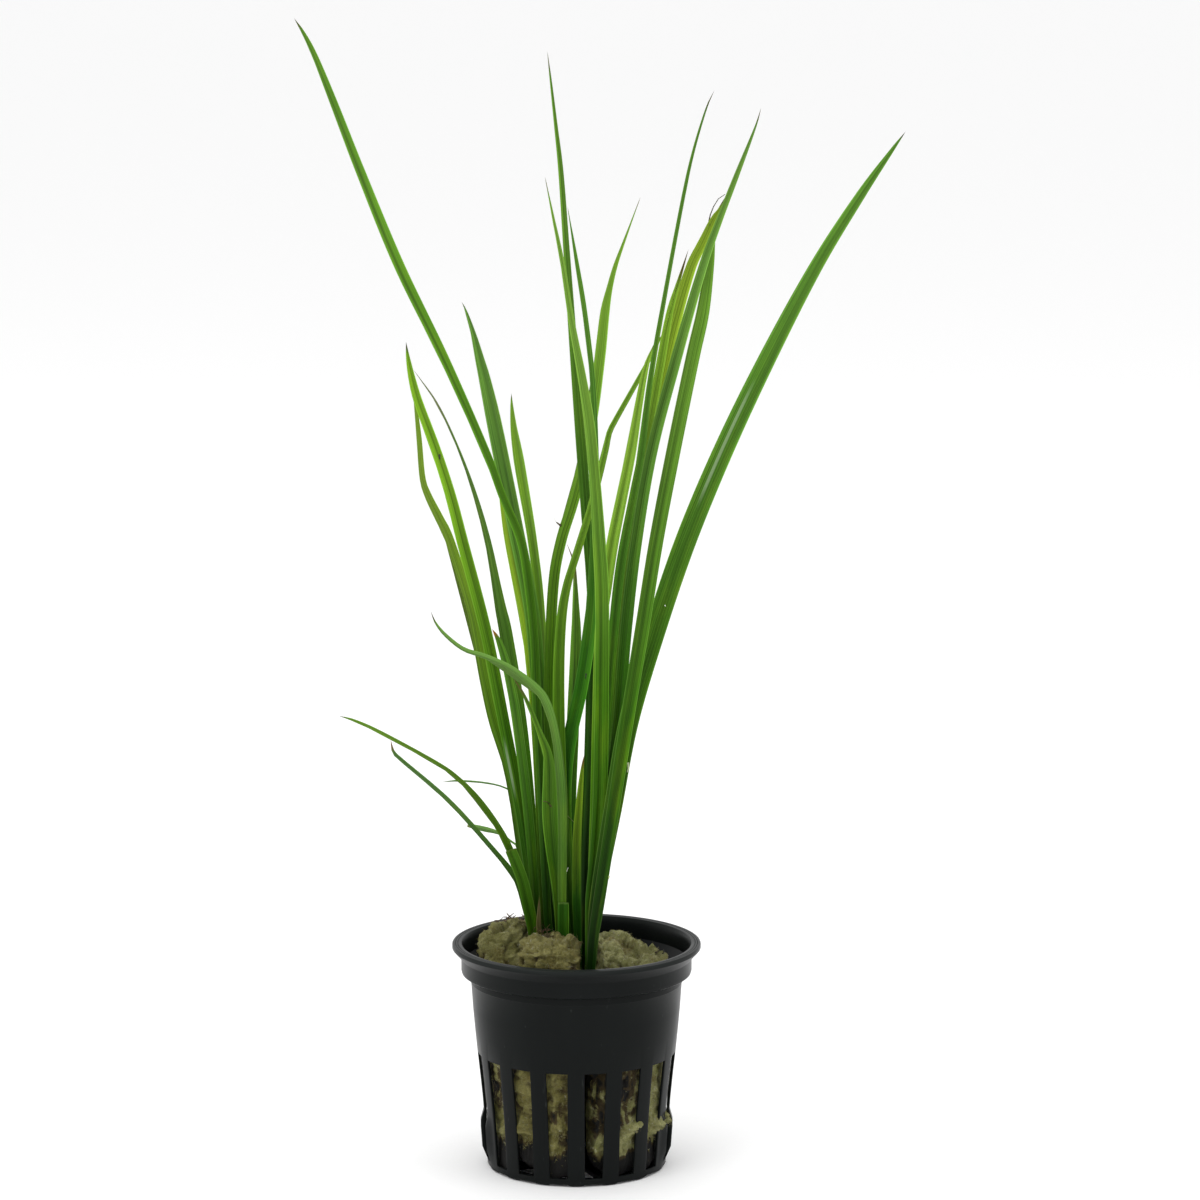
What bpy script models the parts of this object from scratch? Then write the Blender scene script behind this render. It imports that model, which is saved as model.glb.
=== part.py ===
"""Potted Cyperus helferi: a black net pot, three lumps of mineral wool and three tufts of grassy leaves.

All sizes are millimetres until a mesh is finished, which turns them into metres. The origin is the middle
of the pot's underside, +Z is up and the pot's front rib faces -Y.

The leaves are laid out on an elevation: each line lists points (x, z, width) on the plane y = 0, as they
appear from EYE, and every point then slides along its sight line to the leaf's own depth y.
"""
import math
from collections import namedtuple

import bmesh
import bpy
from mathutils import Vector, noise

MM = 0.001
GAP = 0.3

# Pot
POT_HEIGHT = 50.4
LIP_RADIUS = 27.5
LIP_INNER_RADIUS = 25.4
COLLAR_RADIUS = 25.5
COLLAR_FOOT = 42.6
WALL_TOP_RADIUS = 23.4
WALL_SLOT_RADIUS = 22.0
WAIST_RADIUS = 20.5
WAIST_HEIGHT = 12.5
BULGE_RADIUS = 21.3
BULGE_HEIGHT = 8.5
FOOT_RADIUS = 19.5
WALL = 0.6
FLOOR = 1.2
POT_STEPS = 48

SLOTS = 16
SLOT_TOP = 26.0
SLOT_BOTTOM = 1.8
SLOT_TOP_WIDTH = 4.85
SLOT_BOTTOM_WIDTH = 3.9
FLOOR_OPENINGS = 8
HUB_RADIUS = 7.0
SPOKE_WIDTH = 2.6
RING_RADIUS = 16.5

# Mineral wool
WOOL_FOOT = 4.0
WOOL_ROUNDING = 0.35
WOOL_ROUGHNESS = 0.55
LEDGE_HEIGHT = 31.5

# Plant
EYE = Vector((5.2, -1000.0, 294.0))
LEAF_FOOT = 42.0
CROWN_HEIGHT = 5.0
RING_PITCH = 13.0
RING_BEND = math.radians(7)
FOLD = math.radians(16)

Leaf = namedtuple("Leaf", "name depths turn keel tone line blunt", defaults=(False,))
Station = namedtuple("Station", "inner low_inner angle top shoulder")

TONES = {
    "dark": (0.045, 0.150, 0.022),
    "mid": (0.095, 0.250, 0.022),
    "light": (0.200, 0.360, 0.035),
    "yellow": (0.300, 0.400, 0.030),
    "grey": (0.140, 0.240, 0.070),
    "brown": (0.120, 0.060, 0.025),
}


# Helpers

def clear_scene():
    for item in list(bpy.data.objects):
        bpy.data.objects.remove(item, do_unlink=True)


def plain_material(name, colour, roughness):
    material = bpy.data.materials.new(name)
    material.use_nodes = True
    shader = material.node_tree.nodes["Principled BSDF"]
    shader.inputs["Base Color"].default_value = (*colour, 1.0)
    shader.inputs["Roughness"].default_value = roughness
    shader.inputs["Metallic"].default_value = 0.0
    return material


def finish(bm, name, material=None, crease=math.radians(40)):
    """Scale a finished bmesh to metres and put it in the scene as one shaded object."""
    bmesh.ops.scale(bm, vec=(MM, MM, MM), verts=bm.verts)
    bmesh.ops.recalc_face_normals(bm, faces=bm.faces)
    mesh = bpy.data.meshes.new(name)
    bm.to_mesh(mesh)
    bm.free()
    mesh.shade_smooth()
    mesh.set_sharp_from_angle(angle=crease)
    item = bpy.data.objects.new(name, mesh)
    bpy.context.scene.collection.objects.link(item)
    if material:
        mesh.materials.append(material)
    return item


def hide_cutter(item):
    item.display_type = "WIRE"
    item.hide_render = True


def on_sight_line(x, z, depth):
    """The point at depth y on the line from EYE through (x, 0, z)."""
    reach = 1.0 - depth / EYE.y
    return EYE + (Vector((x, 0.0, z)) - EYE) * reach


def blend(low, high, share):
    return low + (high - low) * share


def ease(low, high, value):
    share = min(max((value - low) / (high - low), 0.0), 1.0)
    return share * share * (3.0 - 2.0 * share)


# Pot

def outer_profile():
    return [
        (0.0, 0.0),
        (FOOT_RADIUS, 0.0),
        (FOOT_RADIUS + 0.8, 1.2),
        (BULGE_RADIUS - 0.15, BULGE_HEIGHT / 2),
        (BULGE_RADIUS, BULGE_HEIGHT),
        (WAIST_RADIUS, WAIST_HEIGHT),
        (WALL_SLOT_RADIUS, SLOT_TOP),
        (WALL_TOP_RADIUS, COLLAR_FOOT - 0.8),
        (COLLAR_RADIUS - 0.9, COLLAR_FOOT - 0.1),
        (COLLAR_RADIUS - 0.3, COLLAR_FOOT + 0.5),
        (COLLAR_RADIUS, COLLAR_FOOT + 1.6),
        (COLLAR_RADIUS, POT_HEIGHT - 3.2),
        (LIP_RADIUS - 0.2, POT_HEIGHT - 1.2),
        (LIP_RADIUS, POT_HEIGHT - 0.7),
        (LIP_RADIUS - 0.15, POT_HEIGHT),
    ]


def inner_profile():
    return [
        (LIP_INNER_RADIUS, POT_HEIGHT),
        (COLLAR_RADIUS - WALL, POT_HEIGHT - 0.6),
        (COLLAR_RADIUS - WALL, COLLAR_FOOT + 2.2),
        (WALL_TOP_RADIUS - WALL, COLLAR_FOOT - 0.2),
        (WALL_SLOT_RADIUS - WALL, SLOT_TOP),
        (WAIST_RADIUS - WALL, WAIST_HEIGHT),
        (BULGE_RADIUS - 2.0 * WALL, BULGE_HEIGHT),
        (FOOT_RADIUS - 0.4, FLOOR),
        (0.0, FLOOR),
    ]


def inner_radius(height):
    """Inside radius of the pot at a height."""
    walls = sorted((z, r) for r, z in inner_profile()[:-1])
    for (low_z, low_r), (high_z, high_r) in zip(walls, walls[1:]):
        if low_z <= height <= high_z:
            return blend(low_r, high_r, (height - low_z) / (high_z - low_z))
    return walls[0][1] if height < walls[0][0] else walls[-1][1]


def turn_pot():
    bm = bmesh.new()
    points = [bm.verts.new((r, 0.0, z)) for r, z in outer_profile() + inner_profile()]
    edges = [bm.edges.new(pair) for pair in zip(points, points[1:])]
    bmesh.ops.spin(bm, geom=points + edges, cent=(0, 0, 0), axis=(0, 0, 1),
                   angle=math.tau, steps=POT_STEPS, use_merge=True)
    bmesh.ops.remove_doubles(bm, verts=bm.verts, dist=0.001)
    return bm


def wedge(bm, corners, low, high):
    """Add a closed upright prism over plan corners, with one height range."""
    face = bm.faces.new([bm.verts.new((x, y, low)) for x, y in corners])
    grown = bmesh.ops.extrude_face_region(bm, geom=[face], use_keep_orig=True)
    top = [v for v in grown["geom"] if isinstance(v, bmesh.types.BMVert)]
    bmesh.ops.translate(bm, vec=(0, 0, high - low), verts=top)
    return top


def cut_slots(bm):
    """One tapered block for each slot, starting half a pitch from the front rib."""
    inside, outside = WAIST_RADIUS - 4.0, WALL_SLOT_RADIUS + 2.0
    for index in range(SLOTS):
        angle = math.tau * (index + 0.5) / SLOTS
        along = Vector((math.cos(angle), math.sin(angle)))
        across = Vector((-along.y, along.x))

        def corners(width):
            return [along * r + across * s * width / 2
                    for r, s in ((inside, -1), (outside, -1), (outside, 1), (inside, 1))]

        top = wedge(bm, corners(SLOT_BOTTOM_WIDTH), SLOT_BOTTOM, SLOT_TOP)
        for vert in top:
            plan = vert.co.xy
            side = across * plan.dot(across)
            vert.co.xy = plan + side * (SLOT_TOP_WIDTH / SLOT_BOTTOM_WIDTH - 1.0)


def cut_floor(bm):
    """Openings between the hub, the spokes and the ring."""
    for index in range(FLOOR_OPENINGS):
        middle = math.tau * index / FLOOR_OPENINGS
        corners = []
        for radius, signs in ((HUB_RADIUS, (-1, 1)), (RING_RADIUS, (1, 0, -1))):
            half = math.pi / FLOOR_OPENINGS - math.asin(SPOKE_WIDTH / 2 / radius)
            corners += [(radius * math.cos(middle + s * half), radius * math.sin(middle + s * half))
                        for s in signs]
        wedge(bm, corners, -1.0, FLOOR + 1.0)


def build_pot():
    pot = finish(turn_pot(), "pot", plain_material("black plastic", (0.012, 0.015, 0.016), 0.42))
    cutters = bmesh.new()
    cut_slots(cutters)
    cut_floor(cutters)
    cutter = finish(cutters, "slot_cutter")
    hide_cutter(cutter)
    openings = pot.modifiers.new("Openings", "BOOLEAN")
    openings.operation = "DIFFERENCE"
    openings.solver = "EXACT"
    openings.object = cutter


# Mineral wool

def wool_radius(height, shoulder=0.0):
    """The wool stands off the slotted wall, and its shoulder draws in where it rises into the collar."""
    return inner_radius(height) - 1.6 - 0.5 * ease(14.0, 40.0, height) - shoulder * ease(42.0, 48.0, height)


LUMPS = {
    "rockwool_left": [
        Station((-12.5, -12.0), (-12.5, -12.0), 221, 40.0, 0.3),
        Station((-12.5, -4.5), (-12.5, -4.5), 192, 44.0, 0.3),
        Station((-12.3, 2.0), (-12.3, 2.0), 174, 51.5, 0.3),
        Station((-11.9, 8.0), (-11.2, 7.0), 150, 53.0, 0.6),
        Station((-10.6, 18.0), (-7.4, 8.2), 116, 53.8, 1.0),
    ],
    "rockwool_middle": [
        Station((1.1, 1.0), (1.2, 6.8), 273, 54.0, 1.5),
        Station((-4.5, 2.2), (-4.5, 6.8), 256, 54.8, 1.5),
        Station((-11.6, 5.2), (-11.6, 5.6), 230, 54.0, 1.5),
    ],
    "rockwool_right": [
        Station((5.5, -15.0), (2.0, -15.0), 302, 48.0, 2.0),
        Station((5.5, -7.0), (2.0, -7.0), 337, 48.6, 2.3),
        Station((4.4, 4.0), (2.0, 4.0), 374, 50.2, 2.3),
        Station((3.9, 11.5), (1.9, 7.6), 407, 50.6, 2.0),
        Station((0.5, 14.8), (-2.0, 7.8), 435, 46.0, 1.5),
        Station((-5.6, 15.0), (-6.4, 8.0), 468, 43.0, 1.0),
    ],
}


def between_stations(stations, share):
    """Interpolate a lump's stations at a share 0 to 1 of its run."""
    position = share * (len(stations) - 1)
    index = min(int(position), len(stations) - 2)
    part = position - index
    first, second = stations[index], stations[index + 1]
    return Station(Vector(first.inner).lerp(Vector(second.inner), part),
                   Vector(first.low_inner).lerp(Vector(second.low_inner), part),
                   blend(first.angle, second.angle, part),
                   blend(first.top, second.top, part),
                   blend(first.shoulder, second.shoulder, part))


def rounded(cube_point):
    """Pull a point of the cube part of the way towards the sphere inside it."""
    a, b, c = cube_point
    ball = Vector((a * math.sqrt(1 - b * b / 2 - c * c / 2 + b * b * c * c / 3),
                   b * math.sqrt(1 - c * c / 2 - a * a / 2 + c * c * a * a / 3),
                   c * math.sqrt(1 - a * a / 2 - b * b / 2 + a * a * b * b / 3)))
    return cube_point.lerp(ball, WOOL_ROUNDING)


def wool_point(stations, cube_point):
    """Place a point of the unit cube in a lump: run along x, depth along y, height along z."""
    a, b, c = rounded(cube_point)
    station = between_stations(stations, (a + 1) / 2)
    height = blend(WOOL_FOOT, station.top, (c + 1) / 2)
    above = ease(LEDGE_HEIGHT - 1.0, LEDGE_HEIGHT + 1.0, height)
    inner = station.low_inner.lerp(station.inner, above)
    angle = math.radians(station.angle)
    outer = Vector((math.cos(angle), math.sin(angle))) * wool_radius(height, station.shoulder)
    plan = inner.lerp(outer, (b + 1) / 2)
    bump = noise.noise_vector(Vector((plan.x, plan.y, height)) * 0.21) * WOOL_ROUGHNESS
    point = Vector((plan.x, plan.y, height)) + bump
    reach = wool_radius(point.z) + 0.8
    if point.xy.length > reach:
        point.xy = point.xy.normalized() * reach
    return point


def build_lump(name, stations, cuts, material):
    """A cube cut into a lattice and wrapped between the cleft and the pot wall."""
    bm = bmesh.new()
    bmesh.ops.create_cube(bm, size=2.0)
    for axis, count in enumerate(cuts):
        along = [e for e in bm.edges
                 if abs(abs((e.verts[0].co - e.verts[1].co).normalized()[axis]) - 1.0) < 1e-4]
        bmesh.ops.subdivide_edges(bm, edges=along, cuts=count, use_grid_fill=True)
    for vert in bm.verts:
        vert.co = wool_point(stations, vert.co)
    bmesh.ops.triangulate(bm, faces=bm.faces)
    finish(bm, name, material, crease=math.radians(60))


def build_wool():
    material = plain_material("olive mineral wool", (0.270, 0.230, 0.100), 0.95)
    for name, stations in LUMPS.items():
        build_lump(name, stations, (2 * len(stations) - 3, 2, 5), material)


# Plant

# Each leaf has its depths at the foot and the tip, with how steeply it sweeps between them where that isn't 2,
# the turn of its blade in degrees, the side its keel is on, its green and its line.
LEAVES = [
    # Front tuft, from the nearest leaf to the farthest
    Leaf("front_leaf_right", (-16.6, -30.0), 32, 1, "mid", [
        (2.9, 0, 1.5), (3.6, 50, 2.2), (5.0, 60, 2.6), (8.0, 80, 2.8), (11.0, 100, 3.0), (14.2, 120, 3.1),
        (17.3, 140, 3.1), (21.0, 160, 3.1), (25.0, 180, 3.0), (27.2, 190, 2.8), (28.7, 200, 1.9),
        (29.5, 205, 0.9), (30.1, 208, 0.0)]),
    Leaf("front_leaf_wide", (-15.2, -11.0), -34, 1, "dark", [
        (2.8, 0, 1.5), (3.6, 50, 2.4), (4.5, 60, 3.0), (8.0, 80, 3.9), (11.6, 100, 4.3), (17.3, 120, 4.5),
        (24.0, 140, 4.5), (32.2, 160, 4.2), (41.6, 180, 3.6), (52.0, 200, 2.7), (61.2, 215, 1.9),
        (68.0, 225, 0.8), (70.9, 229.1, 0.0)]),
    Leaf("front_leaf_light", (-13.7, -42.0, 2.6), 30, 1, "light", [
        (2.7, 0, 1.4), (3.0, 50, 2.1), (3.2, 60, 2.5), (4.3, 70, 2.9), (5.2, 85, 3.2), (5.6, 115, 3.0),
        (5.5, 130, 3.0), (4.9, 140, 2.8), (4.1, 152, 2.4), (2.9, 165, 2.2), (1.2, 176, 1.8), (-1.0, 188, 1.3),
        (-3.0, 201, 0.9), (-4.8, 210, 0.55), (-6.65, 219.4, 0.0)]),
    Leaf("front_leaf_tall", (-12.5, -46.0, 3.0), -28, 1, "mid", [
        (2.8, 0, 1.4), (3.3, 50, 1.9), (4.6, 60, 2.2), (7.0, 80, 2.5), (9.3, 100, 2.6), (10.9, 120, 2.6),
        (13.2, 140, 2.5), (16.6, 160, 2.4), (21.8, 180, 2.3), (27.5, 200, 1.8), (31.0, 210, 1.35),
        (34.8, 220, 1.05), (38.6, 230, 0.4), (39.8, 234.2, 0.0)]),
    Leaf("front_leaf_slender", (-11.3, -4.0), 20, 1, "dark", [
        (2.7, 0, 1.3), (3.0, 50, 1.7), (3.8, 60, 1.9), (5.3, 80, 2.1), (6.6, 100, 2.2), (8.1, 120, 2.2),
        (9.7, 135, 2.1), (12.4, 150, 1.8), (14.2, 160, 1.5), (16.0, 175, 1.2), (19.4, 195, 0.95),
        (23.1, 215, 0.8), (25.3, 225, 0.6), (28.0, 234, 0.35), (29.8, 238, 0.0)]),
    Leaf("front_leaf_short", (-10.1, 1.0), -25, 1, "light", [
        (2.6, 0, 1.3), (2.9, 50, 1.8), (3.4, 60, 2.1), (4.2, 80, 2.3), (4.7, 100, 2.4), (5.4, 120, 2.5),
        (6.6, 130, 2.6), (8.1, 140, 2.6), (10.1, 150, 2.4), (12.1, 160, 2.2), (13.7, 170, 1.7),
        (15.2, 178, 1.2), (17.0, 183.5, 0.0)]),
    Leaf("front_leaf_brown_tip", (-8.9, -3.0), 20, 1, "mid", [
        (2.6, 0, 1.2), (3.1, 50, 1.7), (4.1, 60, 1.9), (6.0, 80, 2.1), (7.9, 100, 2.2), (9.6, 120, 2.2),
        (11.9, 140, 2.1), (15.0, 160, 2.0), (18.4, 180, 1.9), (20.2, 190, 1.5), (21.9, 196, 0.9),
        (24.3, 203.8, 0.0)]),
    Leaf("front_leaf_pale", (-7.7, 12.0), 35, 1, "yellow", [
        (2.7, 0, 1.2), (3.2, 50, 1.7), (4.4, 60, 2.0), (6.5, 80, 2.3), (8.4, 100, 2.5), (10.0, 120, 2.6),
        (12.1, 140, 2.7), (15.3, 160, 2.8), (19.3, 180, 2.9), (21.7, 190, 2.7), (24.7, 200, 2.3),
        (27.1, 205, 2.0), (29.4, 210, 1.4), (31.0, 212.6, 0.5), (32.0, 214.8, 0.0)]),

    # Middle tuft, from the nearest leaf to the farthest
    Leaf("middle_cut_leaf", (2.1, 1.8), 0, 1, "dark", [
        (-2.7, 0, 1.4), (-2.9, 50, 2.3), (-2.9, 55, 2.5), (-2.9, 59.3, 2.4)], True),
    Leaf("middle_leaf_arching", (3.5, -16.0), -15, -1, "grey", [
        (-2.8, 0, 1.2), (-3.0, 52, 1.7), (-3.2, 60, 1.9), (-3.1, 80, 2.1), (-3.7, 90, 2.0), (-4.8, 98, 1.8),
        (-6.7, 104.3, 1.9), (-9.2, 107.8, 1.7), (-14.6, 112.1, 1.1), (-20.0, 114.5, 1.1), (-24.7, 116.1, 0.95),
        (-28.6, 119.2, 0.8), (-30.8, 122.0, 0.45), (-31.8, 124.6, 0.0)]),
    Leaf("middle_leaf_yellow", (4.5, 2.0), -20, 1, "yellow", [
        (0.5, 0, 1.1), (0.3, 52, 1.7), (-0.2, 60, 2.0), (-0.5, 70, 2.1), (-0.2, 77, 1.9), (0.8, 85, 1.2),
        (1.3, 90, 0.6), (1.77, 92.6, 0.0)]),
    Leaf("middle_leaf_bent", (4.7, 2.0), 15, 1, "mid", [
        (-3.5, 0, 1.3), (-3.6, 52, 2.0), (-4.0, 61, 2.4), (-5.3, 72, 3.2), (-5.9, 80, 3.5), (-6.0, 88, 2.8),
        (-6.4, 93, 1.9), (-8.2, 97.9, 1.2), (-10.1, 103.0, 0.8), (-12.3, 107.4, 0.5), (-13.9, 109.8, 0.0)]),
    Leaf("middle_leaf_kinked", (5.9, 3.0), 15, 1, "light", [
        (-1.0, 0, 1.2), (-1.1, 52, 1.8), (-1.7, 60, 2.1), (-3.3, 85, 2.5), (-3.9, 105, 2.6), (-3.5, 120, 2.3),
        (-2.1, 130, 1.9), (1.0, 140, 1.5), (4.2, 151, 1.4), (6.4, 160, 1.3), (7.1, 163.6, 1.25),
        (8.3, 166.2, 1.2), (13.2, 175, 1.05), (17.0, 182, 0.7), (19.0, 186, 0.0)]),
    Leaf("middle_leaf_crossing", (7.1, 3.0), -30, 1, "dark", [
        (-1.2, 0, 1.3), (-1.3, 52, 2.1), (-1.7, 60, 2.5), (-2.5, 80, 2.9), (-2.2, 90, 3.0), (-1.0, 98, 3.0),
        (0.6, 105, 3.0), (1.7, 111, 3.0), (3.0, 120, 2.9), (3.9, 130, 2.6), (4.3, 145, 2.0), (4.2, 160, 1.6),
        (3.7, 175, 1.2), (2.0, 190, 1.1), (0.4, 200, 0.9), (-1.8, 213, 0.0)]),
    Leaf("middle_leaf_upright", (8.3, 26.0), 32, 1, "dark", [
        (1.1, 0, 1.4), (1.4, 52, 2.1), (1.9, 70, 2.5), (2.4, 80, 2.6), (3.0, 97, 2.4), (3.4, 120, 2.2),
        (3.3, 130, 2.2), (2.6, 140, 2.3), (1.1, 160, 2.3), (-0.6, 182, 1.8), (-2.0, 202, 1.45),
        (-3.25, 220, 1.15), (-4.3, 230, 0.8), (-5.4, 240, 0.45), (-6.1, 246.3, 0.0)]),
    Leaf("middle_leaf_curled_tip", (8.4, 12.0), -20, -1, "mid", [
        (-0.5, 0, 1.2), (-0.5, 52, 1.8), (-0.8, 60, 2.1), (-1.4, 80, 2.6), (-0.9, 97, 2.8), (-0.3, 112, 2.6),
        (-0.1, 120, 2.2), (-0.1, 126, 1.4), (-0.15, 131, 0.75), (-0.5, 135.2, 0.5), (-2.1, 139.7, 0.0)]),
    Leaf("middle_leaf_curved", (9.1, 36.0), -35, -1, "light", [
        (-2.4, 0, 1.2), (-2.5, 52, 1.8), (-3.1, 60, 2.1), (-4.9, 80, 2.4), (-5.9, 97, 2.4), (-6.0, 110, 2.4),
        (-5.1, 130, 2.4), (-3.4, 140, 2.4), (-0.4, 150, 2.4), (3.0, 165, 2.4), (5.0, 180, 2.4), (6.1, 190, 2.1),
        (7.1, 195, 1.4), (8.4, 200, 1.0), (10.2, 205, 0.6), (13.95, 215.1, 0.0)]),
    Leaf("middle_leaf_tall", (9.2, 46.0, 3.0), -32, -1, "mid", [
        (-5.8, 0, 1.2), (-6.0, 52, 1.6), (-6.6, 60, 1.8), (-8.5, 100, 1.9), (-9.2, 118, 1.9), (-10.4, 130, 1.9),
        (-12.1, 140, 1.9), (-16.1, 150, 1.8), (-19.8, 160, 1.8), (-28.6, 180, 2.1), (-38.2, 200, 2.4),
        (-46.3, 220, 2.15), (-52.0, 235, 1.8), (-55.9, 245, 1.3), (-58.3, 250, 0.8), (-60.3, 253.3, 0.0)]),
    Leaf("middle_leaf_broad", (10.6, 30.0), 30, -1, "dark", [
        (-5.3, 0, 1.4), (-5.5, 52, 2.1), (-6.2, 60, 2.6), (-7.8, 100, 3.2), (-8.7, 115, 3.3), (-10.0, 127, 3.3),
        (-13.5, 145, 3.4), (-17.4, 165, 3.3), (-19.5, 175, 2.6), (-20.75, 180, 2.0), (-22.0, 185, 1.2),
        (-23.6, 190, 0.5), (-24.7, 192.4, 0.0)]),
    Leaf("middle_leaf_hidden", (12.3, 24.0), -20, -1, "yellow", [
        (-6.0, 0, 1.3), (-6.3, 52, 2.0), (-6.9, 60, 2.4), (-8.5, 98, 2.9), (-10.5, 120, 3.0), (-12.4, 130, 3.0),
        (-14.4, 140, 2.7), (-15.4, 146, 2.2), (-16.3, 152, 1.4), (-17.0, 158, 0.0)]),
    Leaf("middle_leaf_back", (13.7, 42.0), 35, -1, "light", [
        (-3.3, 0, 1.2), (-3.5, 52, 1.7), (-4.2, 60, 2.0), (-6.6, 100, 2.1), (-7.8, 125, 2.1), (-9.4, 140, 2.1),
        (-11.8, 155, 2.4), (-12.6, 160, 2.2), (-13.4, 165, 1.5), (-13.9, 170, 0.6), (-14.0, 172.5, 0.0)]),

    # Left tuft, from the nearest leaf to the farthest
    Leaf("left_cut_leaf", (8.0, 1.6), 0, 1, "mid", [
        (-8.8, 0, 1.4), (-9.2, 50, 2.2), (-9.9, 55, 2.5), (-10.9, 60, 2.6), (-12.1, 65, 2.6), (-14.5, 71.3, 2.5)],
         True),
    Leaf("left_leaf_low", (9.5, -16.0), 15, -1, "light", [
        (-8.9, 0, 1.0), (-9.4, 50, 1.3), (-10.2, 55, 1.5), (-12.6, 65, 1.5), (-14.7, 71.5, 1.4),
        (-17.5, 76.7, 1.35), (-21.4, 82.3, 1.2), (-25.8, 87, 1.0), (-30.6, 90.6, 0.85), (-42.9, 97.5, 0.75),
        (-49.0, 100.3, 0.55), (-52.1, 101.2, 0.0)]),
    Leaf("left_leaf_hooked", (10.6, -5.0), -15, -1, "grey", [
        (-9.0, 0, 1.0), (-9.6, 50, 1.4), (-10.5, 55, 1.6), (-12.5, 62.8, 1.6), (-14.1, 65.8, 1.4),
        (-17.7, 70.4, 1.15), (-27.8, 81.9, 1.05), (-38.4, 91.3, 0.9), (-40.2, 93.2, 0.7), (-40.75, 95.9, 0.0)]),
    Leaf("left_leaf_orange_tip", (11.7, 7.0), -20, -1, "mid", [
        (-8.3, 0, 1.1), (-8.6, 52, 1.6), (-9.1, 60, 1.9), (-10.7, 80, 2.2), (-13.1, 100, 2.2), (-14.8, 110, 2.0),
        (-15.9, 114.5, 1.8), (-17.1, 118.2, 1.2), (-18.4, 120.6, 0.0)]),
    Leaf("left_leaf_light", (12.9, 22.0), 32, -1, "light", [
        (-8.3, 0, 1.2), (-8.8, 54, 1.9), (-9.8, 62, 2.3), (-12.2, 80, 2.6), (-15.9, 100, 2.6), (-19.7, 120, 2.6),
        (-24.7, 140, 2.5), (-27.2, 150, 2.3), (-30.3, 160, 2.1), (-33.9, 170, 1.9), (-35.3, 175, 1.6),
        (-36.3, 180, 0.9), (-36.8, 183.7, 0.0)]),
    Leaf("left_leaf_kinked", (14.1, 36.0), -30, -1, "dark", [
        (-8.6, 0, 1.2), (-9.1, 52, 1.8), (-11.0, 62, 2.1), (-13.3, 80, 2.3), (-15.1, 90, 2.3), (-18.2, 100, 2.3),
        (-20.3, 110, 2.3), (-23.0, 125, 2.1), (-27.6, 140, 2.1), (-29.9, 145, 2.0), (-32.3, 150, 1.7),
        (-33.5, 154, 1.4), (-34.2, 163, 1.2), (-35.0, 171, 0.6), (-35.4, 175, 0.0)]),
    Leaf("left_leaf_wiry", (15.3, 26.0), 28, -1, "mid", [
        (-7.6, 0, 1.2), (-7.9, 52, 1.8), (-8.7, 60, 2.3), (-10.3, 80, 2.8), (-12.3, 100, 3.0), (-15.2, 119, 2.9),
        (-16.4, 125, 2.5), (-17.3, 130, 2.0), (-19.2, 140, 1.4), (-21.9, 150, 0.95), (-25.4, 160, 0.5),
        (-30.0, 170, 0.4), (-35.2, 177.6, 0.0)]),
    Leaf("left_leaf_blunt", (16.3, 28.0), 0, -1, "grey", [
        (-8.0, 0, 0.9), (-8.6, 52, 1.1), (-9.6, 60, 1.1), (-12.0, 70.3, 0.6), (-14.9, 73.5, 0.45),
        (-17.2, 75, 0.8), (-20.2, 75.8, 1.25), (-24.0, 76.7, 0.9)], True),
    Leaf("left_leaf_threadlike", (17.2, 36.0), 0, -1, "grey", [
        (-7.7, 0, 0.8), (-8.4, 52, 1.0), (-9.2, 60, 1.0), (-11.3, 78, 0.7), (-12.8, 82.8, 0.5), (-15.4, 85, 0.4),
        (-19.7, 86.2, 0.4), (-26.1, 86.7, 0.45), (-29.7, 86.4, 0.0)]),

    # Withered sheath between the left and the middle tuft
    Leaf("dead_sheath", (5.7, 5.7), 0, 1, "brown", [
        (-7.7, 0, 1.2), (-8.3, 53, 2.0), (-8.1, 57, 1.0), (-7.8, 62, 0.0)]),
]

CROWNS = {
    "crown_front": ((2.75, -12.0), (1.5, 5.4)),
    "crown_middle": ((-2.2, 7.4), (5.0, 5.4)),
    "crown_left": ((-8.6, 13.2), (1.3, 4.6)),
}


def spline(points, share):
    """Catmull-Rom value of a list of vectors at a share 0 to 1 of its run."""
    position = share * (len(points) - 1)
    index = min(int(position), len(points) - 2)
    t = position - index
    ends = [points[0] * 2 - points[1]] + points + [points[-1] * 2 - points[-2]]
    p0, p1, p2, p3 = ends[index:index + 4]
    return (p1 * 2 + (p2 - p0) * t + (p0 * 2 - p1 * 5 + p2 * 4 - p3) * t ** 2
            + (p1 * 3 - p0 - p2 * 3 + p3) * t ** 3) / 2


def leaf_stations(leaf):
    """Stations in space, each a vector (x, y, z, width), from the foot to the tip."""
    base_depth, tip_depth, sweep = (*leaf.depths, 2.0)[:3]
    foot_x, _, foot_width = leaf.line[0]
    tip_height = leaf.line[-1][1]
    reach = max(tip_height - LEAF_FOOT, 1.0)
    stations = [Vector((foot_x, base_depth, LEAF_FOOT, foot_width))]
    for x, z, width in leaf.line[1:]:
        depth = blend(base_depth, tip_depth, max(0.0, (z - LEAF_FOOT) / reach) ** sweep)
        point = on_sight_line(x, z, depth)
        stations.append(Vector((*point, width)))
    return stations


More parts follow.
